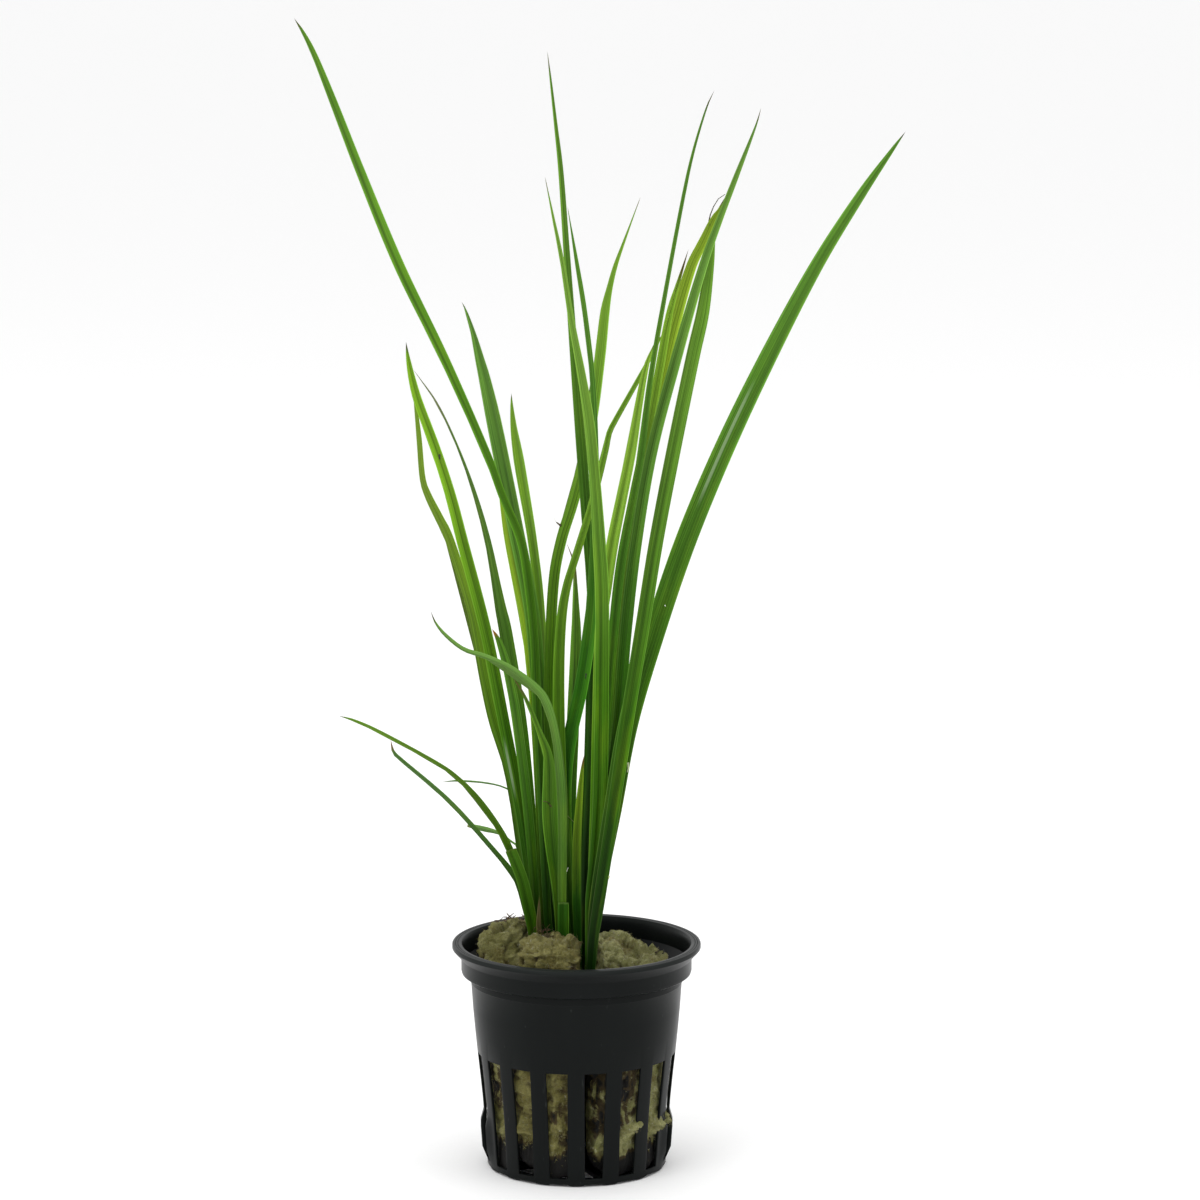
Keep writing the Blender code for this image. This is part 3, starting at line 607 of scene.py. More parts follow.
# Dark places: azimuth, radius and height of the middle, size and depth
SHADOWS = [(around(angle, radius, height), size, depth) for angle, radius, height, size, depth in (
    (-147, 20.0, 21.0, 7.5, 1.3), (-104, 20.0, 15.5, 2.2, 1.3), (-140, 21.5, 45.0, 4.0, 0.8),
    (-104, 20.5, 46.5, 2.6, 2.2), (-93, 20.5, 48.0, 2.0, 1.3), (-86, 20.5, 48.0, 1.8, 1.3),
    (-116, 20.5, 45.5, 2.4, 1.3), (-74, 17.5, 22.0, 7.0, 1.6), (-88, 18.0, 12.0, 5.0, 1.8),
    (-72, 18.0, 14.0, 3.0, 1.4), (-56, 20.0, 22.0, 6.5, 1.0), (-60, 20.0, 15.0, 2.6, 1.2),
    (-54, 19.5, 14.0, 7.5, 0.6), (-101, 19.5, 14.0, 9.0, 0.3), (-30, 19.5, 18.0, 9.0, -0.6))]


def slot_share(place):
    """1 in the middle of a slot and 0 at a rib or above the slots."""
    offset = abs(from_middle(azimuth(place), SECTOR)) / (SECTOR / 2)
    return (1.0 - ease(0.35, 0.62, offset)) * (1.0 - ease(SLOT_TOP - 3.0, SLOT_TOP - 1.0, place.z))


def fine_lump(node):
    """A smooth solid of wool in millimetres, remeshed finely."""
    bm = bmesh.new()
    bm.from_mesh(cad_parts[node].data)
    bmesh.ops.remove_doubles(bm, verts=bm.verts, dist=1e-6)
    lump = add_object("lump", to_mesh(bm, "lump"))
    voxels = lump.modifiers.new("Voxels", "REMESH")
    voxels.mode = "VOXEL"
    voxels.voxel_size = VOXEL * MM
    evaluated = lump.evaluated_get(bpy.context.evaluated_depsgraph_get())
    bm = bmesh.new()
    bm.from_mesh(evaluated.to_mesh())
    bpy.data.objects.remove(lump)
    bmesh.ops.scale(bm, vec=(1 / MM, 1 / MM, 1 / MM), verts=bm.verts)
    bmesh.ops.smooth_vert(bm, verts=bm.verts, factor=0.5, use_axis_x=True, use_axis_y=True, use_axis_z=True)
    bm.normal_update()
    return bm


def pull_out(bm, chunk):
    """Where a chunk is pulled out of a lump, its size and its pull."""
    aim = around(chunk.angle, 1.0, 0.0)
    near = [vert.co for vert in bm.verts
            if abs(vert.co.z - chunk.height) < 0.8 and abs(vert.co.xy.angle_signed(aim.xy)) < 0.07]
    pull = around(chunk.angle, chunk.out, chunk.up) + around(chunk.angle + 90, chunk.side, 0.0)
    return max(near, key=lambda co: co.dot(aim)).copy(), chunk.size, pull


def valley(value, width):
    """1 where a noise is zero, falling to 0 where it differs from zero by width."""
    return max(0.0, width - abs(value)) / width


def relief(co, shift, on_top):
    """How far the torn surface lies outside the smooth one, how much painted shade it gets, and how much a pull
    swells there.
    """
    broad = noise.fractal(co * 0.16 + shift, 1.0, 2.0, 2) * 0.9
    clumps = noise.fractal(co * 0.42 - shift, 1.0, 2.0, 2) * 0.75
    tufts = noise.fractal(co * 0.95 + shift, 0.9, 2.1, 3) * 0.5
    crease = valley(noise.noise(co * 0.21 + shift), 0.14) * blend(0.15, 0.8, on_top)
    crack = valley(noise.noise(co * 0.55 - shift), 0.10) * blend(0.1, 0.4, on_top)
    height = broad + clumps * 0.7 + tufts - crease - crack
    # Painted shade in creases and cracks, and painted light on broad bumps, clumps and tufts.
    hollow = crease * 0.8 + crack * 0.9 - broad * 0.35 - clumps * 0.9 - tufts * 0.8
    return min(height, 0.6), hollow, 1.0 + tufts * 1.4 + clumps * 0.5


def hang(co, seed, facing, outer):
    """Move a low point to the torn bottom in front or onto the base elsewhere; return how much painted shade it gets.
    """
    fringe = noise.noise(Vector((co.x * 1.1, co.y * 1.1, seed + 5.0)))
    low = ((TORN_BELOW - co.z) / 10.0) ** 1.3
    torn = facing * ease(6.0, -4.0, co.y)
    # Painted shade: near black low inside the pot and below the torn bottom.
    dark = 2.5 * ease(10.0, 7.0, co.z) * (1.0 - torn)
    sink = 3.0 + 3.0 * ease(10.0, 15.0, outer)
    foot = look_up(WOOL_FEET, math.degrees(azimuth(co))) + fringe * 2.2
    co.z += ((foot - SOLID_FOOT) * torn - sink * (1.0 - torn)) * low
    co.z = max(co.z, ABOVE_BASE)
    co.xy *= 1.0 + 0.1 * ease(9.0, 5.0, co.z) * (1.0 - facing) * ease(5.0, 12.0, outer)
    return dark + 2.6 * ease(foot + 0.9, foot - 0.7, co.z)


def shadow(co, shift):
    """How much darker a point is behind the slots and in the streaky dark places."""
    dark = 0.3 * ease(32.0, 26.0, co.z)
    streak = noise.noise(Vector((co.x * 1.1, co.y * 1.1, co.z * 0.22)) + shift)
    for centre, size, amount in SHADOWS:
        share = max(0.0, 1.0 - (co - centre).length_squared / size ** 2)
        dark += amount * share * max(0.0, 0.8 + 1.6 * streak)
    return dark


def tear(bm, seed, settle, pulls):
    """Roughen a smooth lump into torn wool, and return how much painted shade each point gets."""
    shift = Vector((seed * 7.3, seed * 3.1, 0.0))
    painted_shades = []
    for vert in bm.verts:
        co = vert.co.copy()
        outer = co.xy.length
        up = max(vert.normal.z, 0.0)
        on_top = ease(TOP_STARTS, TOP_FULL, co.z)
        facing = ease(0.25, 0.75, vert.normal.xy.dot(co.xy) / max(outer, 1.0)) * ease(9.0, 12.0, outer)
        height, hollow, swell = relief(co, shift, on_top)
        if on_top > 0.5:
            shoulder = 4.0 * up * up * (1.0 - up * up) * on_top
            push = height - settle * up * (1.0 - shoulder) + shoulder * 0.9
            # Painted light and shade: tops a little lighter, steeper sides darker.
            hollow += blend(0.3, -0.15, up)
        else:
            push = blend(0.5, max(height, -1.8), facing)
        co += vert.normal * push
        gap = max(look_up(INNER_WALL, co.z) - 0.8 - outer, 0.0)
        co.xy *= 1.0 + gap * 0.85 * facing * (1.0 - on_top) / max(outer, 1.0)
        if co.z < TORN_BELOW:
            hollow += hang(co, seed, facing, outer)
        reach = look_up(INNER_WALL, co.z) - 0.12 + 0.5 * slot_share(co)
        if co.z < TOP_FULL and co.xy.length > reach:
            co.xy *= reach / co.xy.length
        hollow += shadow(co, shift)
        for centre, size, pull in pulls:
            share = max(0.0, 1.0 - (vert.co - centre).length_squared / size ** 2)
            co += pull * (share * share * swell)
            # Painted light: chunks pulled out below the top are painted lighter.
            if co.z < TOP_STARTS:
                hollow -= share * 0.5
        vert.co = co
        painted_shades.append(hollow)
    return painted_shades


def grow(start, heading, length, bend):
    """The points of a fibre that bends as it grows."""
    points = [start]
    for _ in range(3):
        points.append(points[-1] + heading * (length / 3))
        heading = (heading + bend).normalized()
    return points


def fur(strands, bm, rng, painted_shades):
    """Short loose fibres all over a lump but where it is painted darkest: nearly all lie on it, a few stand out."""
    roots = []
    bm.verts.index_update()
    for face in bm.faces:
        middle = face.calc_center_median()
        if middle.z > TOP_STARTS:
            seen = 1.0
        else:
            seen = slot_share(middle) * 0.9 if middle.xy.length > CORE_RADIUS else 0.02
        seen *= 1.0 - ease(0.6, 1.3, painted_shades[face.verts[0].index])
        roots.append((middle, face.normal.copy(), face.calc_area() * max(seen, 0.02)))
    for root, normal, _ in rng.choices(roots, weights=[r[2] for r in roots], k=FIBRES):
        heading = any_way(rng)
        heading = (heading - normal * heading.dot(normal)).normalized()
        stands = rng.random() < 0.02
        lift = rng.uniform(0.3, 0.8) if stands else rng.uniform(0.02, 0.16)
        heading = (heading + normal * lift).normalized()
        bend = any_way(rng, 0.45) * 0.45 - normal * 0.16
        length = rng.uniform(0.4, 0.8) if stands else rng.uniform(0.35, 1.15)
        points = grow(root + normal * rng.uniform(0.0, 0.08), heading, length, bend)
        strands.add(points, rng.uniform(0.018, 0.042), rng.random() ** 1.7)


def tuft(strands, bm, rng, centre, size, aim, count):
    """A torn edge: short fibres that leave one patch of a lump together."""
    patch = [face for face in bm.faces if (face.calc_center_median() - centre).length < size]
    for face in rng.choices(patch, k=count if patch else 0):
        heading = (face.normal * 0.6 + aim + any_way(rng, 0.35)).normalized()
        bend = any_way(rng, 0.5) * 0.35
        length = rng.uniform(0.2, 0.55) + 0.6 * rng.random() ** 5
        points = grow(face.calc_center_median() - heading * 0.1, heading, length, bend)
        strands.add(points, rng.uniform(0.02, 0.05), rng.random() ** 1.3)


def build_wool():
    """Each lump is its solid, remeshed finely and torn, with loose fibres all over it."""
    ends = fibre_finish()
    rng = random.Random(11)
    for seed, lump in enumerate(LUMPS, 1):
        bm = fine_lump(lump.node)
        pulls = [pull_out(bm, chunk) for chunk in lump.chunks]
        painted_shades = tear(bm, seed, lump.settle, DENTS + pulls)
        bm.normal_update()
        strands = Strands()
        fur(strands, bm, rng, painted_shades)
        for chunk, (place, size, pull) in zip(lump.chunks, pulls):
            tuft(strands, bm, rng, place + pull * 0.7, size * 0.62, pull.normalized() * 0.8, chunk.fibres)
        strands.finish(lump.node + "_fibres", ends, "wool")
        finish = wool_finish(lump.glint, lump.pale_low, lump.pale_high)
        piece = finish_piece(bm, lump.node + "_lump", finish, lump.node, 180)
        # Each point's painted shade, which darkens the wool's colour.
        piece.data.attributes.new("hollow", "FLOAT", "POINT").data.foreach_set("value", painted_shades)


def build_roots():
    """Root strands inside the front rim, crumbs by the back rim and root hairs between the tufts of leaves."""
    rng = random.Random(5)
    strands = Strands()
    for start, end, thick in (
            ((-20.5, -9.5, 47.6), (-14.2, -15.6, 46.6), 0.28), ((-17.0, -13.0, 47.0), (-11.5, -17.5, 46.4), 0.2),
            ((-6.0, -19.5, 46.8), (-1.5, -20.6, 46.6), 0.2), ((1.0, -20.4, 46.9), (3.5, -18.5, 47.8), 0.16)):
        points = [Vector(start).lerp(Vector(end), i / 6) + any_way(rng, 0.22) for i in range(7)]
        strands.add(points, thick, 0.5, 0.5)
    for _ in range(46):
        root = Vector((rng.uniform(-18.0, -11.0), rng.uniform(15.5, 19.5), rng.uniform(50.4, 51.5)))
        aim = Vector((rng.gauss(-0.2, 0.8), rng.gauss(0.2, 0.6), rng.uniform(-0.1, 0.4))).normalized()
        length = rng.uniform(0.8, 2.6)
        points = [root + aim * (length * i / 3) + any_way(rng, 0.12) for i in range(4)]
        strands.add(points, rng.uniform(0.08, 0.24), 0.5, 0.4)
    for _ in range(26):
        spot = Vector((rng.gauss(-7.8, 1.0), rng.gauss(6.5, 2.0), rng.uniform(50.6, 52.4)))
        aim = any_way(rng).normalized()
        points = [spot + aim * (rng.uniform(0.6, 1.8) * i / 3) + any_way(rng, 0.1) for i in range(4)]
        strands.add(points, rng.uniform(0.06, 0.16), 0.5, 0.5)
    strands.finish("root_strands", root_finish(), "rootstock")


# Leaves

# Colours of a blade from its foot to its tip
TONES = {
    "dark": ("#122d04", "#285408", "#4a7c20"),
    "mid": ("#173904", "#38660a", "#5c8b28"),
    "light": ("#204806", "#45710c", "#6f9a2e"),
    "yellow": ("#264e06", "#587e0c", "#85a42a"),
    "grey": ("#2a4c12", "#44702a", "#648c48"),
    "brown": ("#2c2710", "#454020", "#6a6238"),
}

# A leaf: depths of its foot and tip and the power of its lean between them, turn in degrees from foot to tip, keel to
# the back (1) or to the front (-1), tone, points (x, z, width) from the foot, whose z is always LEAF_FOOT, to the
# tip, and whether its end is blunt. Then what differs from other leaves: the colours of its tone, the painted light
# and shade on it from its left margin to its right one, the length and colour of its dry tip, and a painted sheen
# streak (where across, half its width, from and to along)
Blade = namedtuple(
    "Blade", "name depths turn keel tone line blunt ramp bands dry bloom",
    defaults=(False, None, (1.15, 1.0, 0.88, 0.98, 1.05, 1.15), (2.0, "#4c5520"), None))

BLADES = [
    Blade("front_leaf_right", (-16.6, -30.0), 32, 1, "mid", [
        (2.9, 0, 1.5), (3.6, 50, 2.2), (5.0, 60, 2.6), (8.0, 80, 2.8), (11.0, 100, 3.0), (14.2, 120, 3.1),
        (17.3, 140, 3.1), (21.0, 160, 3.1), (25.0, 180, 3.0), (27.2, 190, 2.8), (28.7, 200, 1.9),
        (29.5, 205, 0.9), (30.1, 208, 0.0)], ramp=("#102a04", "#33620a", "#628f2c"),
        bands=(0.8, 0.95, 0.85, 1.0, 1.1, 1.3)),
    Blade("front_leaf_wide", (-15.2, -11.0), -34, 1, "dark", [
        (2.8, 0, 1.5), (3.6, 50, 2.4), (4.5, 60, 3.0), (8.0, 80, 3.9), (11.6, 100, 4.3), (17.3, 120, 4.5),
        (24.0, 140, 4.5), (32.2, 160, 4.2), (41.6, 180, 3.6), (52.0, 200, 2.7), (61.2, 215, 1.9),
        (68.0, 225, 0.8), (70.9, 229.1, 0.0)], ramp=("#102a04", "#3f6e14", "#57862c"),
        bands=(1.35, 1.15, 1.0, 0.72, 0.8, 1.35), dry=(2.5, "#39391a"), bloom=(-0.2, 0.2, 0.54, 0.70)),
    Blade("front_leaf_light", (-13.7, -42.0, 2.6), 30, 1, "light", [
        (2.7, 0, 1.4), (3.0, 50, 2.1), (3.2, 60, 2.5), (4.3, 70, 2.9), (5.2, 85, 3.2), (5.6, 115, 3.0),
        (5.5, 130, 3.0), (4.9, 140, 2.8), (4.1, 152, 2.4), (2.9, 165, 2.2), (1.2, 176, 1.8), (-1.0, 188, 1.3),
        (-3.0, 201, 0.9), (-4.8, 210, 0.55), (-6.65, 219.4, 0.0)], ramp=("#1e4604", "#3c6c08", "#76a13c"),
        bands=(1.3, 0.95, 0.9, 1.15, 1.0, 1.2), dry=(5.0, "#5e5f2c")),
    Blade("front_leaf_tall", (-12.5, -46.0, 3.0), -28, 1, "mid", [
        (2.8, 0, 1.4), (3.3, 50, 1.9), (4.6, 60, 2.2), (7.0, 80, 2.5), (9.3, 100, 2.6), (10.9, 120, 2.6),
        (13.2, 140, 2.5), (16.6, 160, 2.4), (21.8, 180, 2.3), (27.5, 200, 1.8), (31.0, 210, 1.35),
        (34.8, 220, 1.05), (38.6, 230, 0.4), (39.8, 234.2, 0.0)], ramp=("#143404", "#2f6008", "#66923a"),
        bands=(0.85, 0.8, 1.0, 1.15, 1.0, 1.15), dry=(5.0, "#4d4a1c")),
    Blade("front_leaf_slender", (-11.3, -4.0), 20, 1, "dark", [
        (2.7, 0, 1.3), (3.0, 50, 1.7), (3.8, 60, 1.9), (5.3, 80, 2.1), (6.6, 100, 2.2), (8.1, 120, 2.2),
        (9.7, 135, 2.1), (12.4, 150, 1.8), (14.2, 160, 1.5), (16.0, 175, 1.2), (19.4, 195, 0.95),
        (23.1, 215, 0.8), (25.3, 225, 0.6), (28.0, 234, 0.35), (29.8, 238, 0.0)],
        ramp=("#122d04", "#3a6a14", "#56842c"), dry=(6.0, "#4c4a20")),
    Blade("front_leaf_short", (-10.1, 1.0), -25, 1, "light", [
        (2.6, 0, 1.3), (2.9, 50, 1.8), (3.4, 60, 2.1), (4.2, 80, 2.3), (4.7, 100, 2.4), (5.4, 120, 2.5),
        (6.6, 130, 2.6), (8.1, 140, 2.6), (10.1, 150, 2.4), (12.1, 160, 2.2), (13.7, 170, 1.7),
        (15.2, 178, 1.2), (17.0, 183.5, 0.0)], ramp=("#234b06", "#427008", "#7ea636"),
        bands=(1.2, 1.0, 0.85, 1.05, 1.1, 1.2)),
    Blade("front_leaf_brown_tip", (-8.9, -3.0), 20, 1, "mid", [
        (2.6, 0, 1.2), (3.1, 50, 1.7), (4.1, 60, 1.9), (6.0, 80, 2.1), (7.9, 100, 2.2), (9.6, 120, 2.2),
        (11.9, 140, 2.1), (15.0, 160, 2.0), (18.4, 180, 1.9), (20.2, 190, 1.5), (21.9, 196, 0.9),
        (24.3, 203.8, 0.0)], ramp=("#1a3a06", "#3c6a0c", "#7ba52e"), dry=(9.0, "#4a3414")),
    Blade("front_leaf_pale", (-7.7, 12.0), 35, 1, "yellow", [
        (2.7, 0, 1.2), (3.2, 50, 1.7), (4.4, 60, 2.0), (6.5, 80, 2.3), (8.4, 100, 2.5), (10.0, 120, 2.6),
        (12.1, 140, 2.7), (15.3, 160, 2.8), (19.3, 180, 2.9), (21.7, 190, 2.7), (24.7, 200, 2.3),
        (27.1, 205, 2.0), (29.4, 210, 1.4), (31.0, 212.6, 0.5), (32.0, 214.8, 0.0)],
        bands=(1.1, 1.1, 0.85, 1.15, 1.1, 1.2), dry=(2.5, "#4b3c1c")),
    Blade("middle_cut_leaf", (2.1, 1.8), 0, 1, "dark", [
        (-2.7, 0, 1.4), (-2.9, 50, 2.3), (-2.9, 55, 2.5), (-2.9, 59.3, 2.4)], True,
        ramp=("#102e03", "#1e4a06", "#2f6010"), dry=(0.5, "#4c6a2c")),
    Blade("middle_leaf_arching", (3.5, -16.0), -15, -1, "grey", [
        (-2.8, 0, 1.2), (-3.0, 52, 1.7), (-3.2, 60, 1.9), (-3.1, 80, 2.1), (-3.7, 90, 2.0), (-4.8, 98, 1.8),
        (-6.7, 104.3, 1.9), (-9.2, 107.8, 1.7), (-14.6, 112.1, 1.1), (-20.0, 114.5, 1.1), (-24.7, 116.1, 0.95),
        (-28.6, 119.2, 0.8), (-30.8, 122.0, 0.45), (-31.8, 124.6, 0.0)], ramp=("#42681a", "#4b7428", "#6a9442"),
        bands=(0.85, 0.75, 0.85, 1.1, 1.35, 1.45), dry=(4.0, "#3f3018")),
    Blade("middle_leaf_yellow", (4.5, 2.0), -20, 1, "yellow", [
        (0.5, 0, 1.1), (0.3, 52, 1.7), (0.1, 60, 2.0), (0.1, 70, 2.0), (0.35, 77, 1.8), (0.95, 85, 1.25),
        (1.4, 90, 0.6), (1.77, 92.6, 0.0)], ramp=("#133604", "#1c4806", "#70921e"), dry=(4.0, "#634a22")),
    Blade("middle_leaf_bent", (4.7, 2.0), 15, 1, "mid", [
        (-3.5, 0, 1.3), (-3.6, 52, 2.0), (-4.0, 61, 2.4), (-5.3, 72, 3.2), (-5.9, 80, 3.5), (-6.0, 88, 2.8),
        (-6.4, 93, 1.9), (-8.2, 97.9, 1.2), (-10.1, 103.0, 0.8), (-12.3, 107.4, 0.5), (-13.9, 109.8, 0.0)],
        bands=(1.1, 1.0, 0.8, 0.75, 0.85, 1.1), dry=(7.0, "#56562a")),
    Blade("middle_leaf_kinked", (5.9, 3.0), 15, 1, "light", [
        (-1.0, 0, 1.2), (-1.1, 52, 1.8), (-1.7, 60, 2.1), (-3.3, 85, 2.5), (-3.9, 105, 2.6), (-3.5, 120, 2.3),
        (-2.1, 130, 1.9), (1.0, 140, 1.5), (4.2, 151, 1.4), (6.4, 160, 1.3), (7.1, 163.6, 1.25),
        (8.3, 166.2, 1.2), (13.2, 175, 1.05), (17.0, 182, 0.7), (19.0, 186, 0.0)]),
    Blade("middle_leaf_crossing", (7.1, 3.0), -30, 1, "dark", [
        (-1.2, 0, 1.3), (-1.3, 52, 2.1), (-1.7, 60, 2.5), (-2.5, 80, 2.9), (-2.2, 90, 3.0), (-1.0, 98, 3.0),
        (0.6, 105, 3.0), (1.7, 111, 3.0), (3.0, 120, 2.9), (3.9, 130, 2.6), (4.3, 145, 2.0), (4.2, 160, 1.6),
        (3.7, 175, 1.2), (2.0, 190, 1.1), (0.4, 200, 0.9), (-1.8, 213, 0.0)],
        ramp=("#173c05", "#317010", "#54862c"), bands=(0.85, 0.75, 0.8, 0.95, 1.0, 1.5)),
    Blade("middle_leaf_upright", (8.3, 26.0), 32, 1, "dark", [
        (1.1, 0, 1.4), (1.4, 52, 2.1), (1.9, 70, 2.5), (2.4, 80, 2.6), (3.0, 97, 2.4), (3.4, 120, 2.2),
        (3.3, 130, 2.2), (2.6, 140, 2.3), (1.1, 160, 2.3), (-0.6, 182, 1.8), (-2.0, 202, 1.45),
        (-3.25, 220, 1.15), (-4.3, 230, 0.8), (-5.4, 240, 0.45), (-6.1, 246.3, 0.0)],
        ramp=("#122e05", "#2c5a0a", "#5e8c2c"), bands=(1.35, 1.15, 0.8, 0.7, 0.8, 0.95), dry=(6.0, "#55542a")),
    Blade("middle_leaf_curled_tip", (8.4, 12.0), -20, -1, "mid", [
        (-0.5, 0, 1.2), (-0.5, 52, 1.8), (-0.8, 60, 2.1), (-1.4, 80, 2.6), (-0.9, 97, 2.8), (-0.3, 112, 2.6),
        (-0.1, 120, 2.2), (-0.1, 126, 1.4), (-0.15, 131, 0.75), (-0.5, 135.2, 0.5), (-2.1, 139.7, 0.0)],
        ramp=("#103204", "#31660a", "#5c8b28"), dry=(11.0, "#6a5c38")),
    Blade("middle_leaf_curved", (9.1, 36.0), -35, -1, "light", [
        (-2.4, 0, 1.2), (-2.5, 52, 1.8), (-3.1, 60, 2.1), (-4.9, 80, 2.4), (-5.9, 97, 2.4), (-6.0, 110, 2.4),
        (-5.1, 130, 2.4), (-3.4, 140, 2.4), (-0.4, 150, 2.4), (3.0, 165, 2.4), (5.0, 180, 2.4), (6.1, 190, 2.1),
        (7.1, 195, 1.4), (8.4, 200, 1.0), (10.2, 205, 0.6), (13.95, 215.1, 0.0)],
        bands=(0.9, 1.0, 1.0, 1.15, 1.1, 1.2), dry=(4.5, "#62602c")),
    Blade("middle_leaf_tall", (9.2, 46.0, 3.0), -32, -1, "mid", [
        (-5.8, 0, 1.2), (-6.0, 52, 1.6), (-6.6, 60, 1.8), (-8.5, 100, 1.9), (-9.2, 118, 1.9), (-10.4, 130, 1.9),
        (-12.1, 140, 1.9), (-16.1, 150, 1.8), (-19.8, 160, 1.8), (-28.6, 180, 2.1), (-38.2, 200, 2.4),
        (-46.3, 220, 2.15), (-52.0, 235, 1.8), (-55.9, 245, 1.3), (-58.3, 250, 0.8), (-60.3, 253.3, 0.0)],
        ramp=("#1d4306", "#41700f", "#5a8a26"), bands=(1.25, 1.05, 0.8, 0.95, 1.0, 1.1), dry=(4.0, "#4c4e20")),
    Blade("middle_leaf_broad", (10.6, 30.0), 30, -1, "dark", [
        (-5.3, 0, 1.4), (-5.5, 52, 2.1), (-6.2, 60, 2.6), (-7.8, 100, 3.2), (-8.7, 115, 3.3), (-10.0, 127, 3.3),
        (-13.5, 145, 3.4), (-17.4, 165, 3.3), (-19.5, 175, 2.6), (-20.75, 180, 2.0), (-22.0, 185, 1.2),
        (-23.6, 190, 0.5), (-24.7, 192.4, 0.0)], ramp=("#153805", "#3c6c0d", "#64933a"),
        bands=(1.2, 1.1, 0.9, 0.8, 0.95, 1.1)),
    Blade("middle_leaf_hidden", (12.3, 24.0), -20, -1, "yellow", [
        (-6.0, 0, 1.3), (-6.3, 52, 2.0), (-6.9, 60, 2.4), (-8.5, 98, 2.9), (-10.5, 120, 3.0), (-12.4, 130, 3.0),
        (-14.4, 140, 2.7), (-15.4, 146, 2.2), (-16.3, 152, 1.4), (-17.0, 158, 0.0)],
        ramp=("#264e06", "#4e7a0c", "#7b9c26")),
    Blade("middle_leaf_back", (13.7, 42.0), 35, -1, "light", [
        (-3.3, 0, 1.2), (-3.5, 52, 1.7), (-4.2, 60, 2.0), (-6.6, 100, 2.1), (-7.8, 125, 2.1), (-9.4, 140, 2.1),
        (-11.8, 155, 2.4), (-12.6, 160, 2.2), (-13.4, 165, 1.5), (-13.9, 170, 0.6), (-14.0, 172.5, 0.0)]),
    Blade("left_cut_leaf", (8.0, 1.6), 0, 1, "mid", [
        (-8.8, 0, 1.4), (-9.2, 50, 2.2), (-9.9, 55, 2.5), (-10.9, 60, 2.6), (-12.1, 65, 2.6), (-14.5, 71.3, 2.5)],
        True, ramp=("#153404", "#2c5608", "#44701a"), dry=(0.5, "#4c6a20")),
    Blade("left_leaf_low", (9.5, -16.0), 15, -1, "light", [
        (-8.9, 0, 1.0), (-9.4, 50, 1.3), (-10.2, 55, 1.5), (-12.6, 65, 1.5), (-14.7, 71.5, 1.4),
        (-17.5, 76.7, 1.35), (-21.4, 82.3, 1.2), (-25.8, 87, 1.0), (-30.6, 90.6, 0.85), (-42.9, 97.5, 0.75),
        (-49.0, 100.3, 0.55), (-52.1, 101.2, 0.0)]),
    Blade("left_leaf_hooked", (10.6, -5.0), -15, -1, "grey", [
        (-9.0, 0, 1.0), (-9.6, 50, 1.4), (-10.5, 55, 1.6), (-12.5, 62.8, 1.6), (-14.1, 65.8, 1.4),
        (-17.7, 70.4, 1.15), (-27.8, 81.9, 1.05), (-38.4, 91.3, 0.9), (-40.2, 93.2, 0.7), (-40.75, 95.9, 0.0)],
        ramp=("#2a4c12", "#3f6a22", "#567e3c"), dry=(4.0, "#6d4a28")),
    Blade("left_leaf_orange_tip", (11.7, 7.0), -20, -1, "mid", [
        (-8.3, 0, 1.1), (-8.6, 52, 1.6), (-9.1, 60, 1.9), (-10.7, 80, 2.2), (-13.1, 100, 2.2), (-14.8, 110, 2.0),
        (-15.9, 114.5, 1.8), (-17.1, 118.2, 1.2), (-18.4, 120.6, 0.0)], ramp=("#173904", "#33600a", "#4c7c22"),
        dry=(2.6, "#84521c")),
    Blade("left_leaf_light", (12.9, 22.0), 32, -1, "light", [
        (-8.3, 0, 1.2), (-8.8, 54, 1.9), (-9.8, 62, 2.3), (-12.2, 80, 2.6), (-15.9, 100, 2.6), (-19.7, 120, 2.6),
        (-24.7, 140, 2.5), (-27.2, 150, 2.3), (-30.3, 160, 2.1), (-33.9, 170, 1.9), (-35.3, 175, 1.6),
        (-36.3, 180, 0.9), (-36.8, 183.7, 0.0)], ramp=("#1c4404", "#3a6b08", "#72a024"),
        bands=(1.25, 1.15, 0.9, 1.0, 1.1, 1.15), dry=(3.0, "#33351a"), bloom=(-0.55, 0.3, 0.26, 0.37)),
    Blade("left_leaf_kinked", (14.1, 36.0), -30, -1, "dark", [
        (-8.6, 0, 1.2), (-9.1, 52, 1.8), (-11.0, 62, 2.1), (-13.3, 80, 2.3), (-15.1, 90, 2.3), (-18.2, 100, 2.3),
        (-20.3, 110, 2.3), (-23.0, 125, 2.1), (-27.6, 140, 2.1), (-29.9, 145, 2.0), (-32.3, 150, 1.7),
        (-33.5, 154, 1.4), (-34.2, 163, 1.2), (-35.0, 171, 0.6), (-35.4, 175, 0.0)],
        ramp=("#1f4806", "#4a740e", "#76962e"), bands=(0.8, 0.85, 0.9, 1.1, 1.0, 1.2)),
    Blade("left_leaf_wiry", (15.3, 26.0), 28, -1, "mid", [
        (-7.6, 0, 1.2), (-7.9, 52, 1.8), (-8.7, 60, 2.3), (-10.3, 80, 2.8), (-12.3, 100, 3.0), (-15.2, 119, 2.9),
        (-16.4, 125, 2.5), (-17.3, 130, 2.0), (-19.2, 140, 1.4), (-21.9, 150, 0.95), (-25.4, 160, 0.5),
        (-30.0, 170, 0.4), (-35.2, 177.6, 0.0)], ramp=("#1f4707", "#3f6f0c", "#5e8238"),
        bands=(0.9, 0.95, 0.85, 1.1, 1.1, 1.15), dry=(20.0, "#6f7650")),
    Blade("left_leaf_blunt", (16.3, 28.0), 0, -1, "grey", [
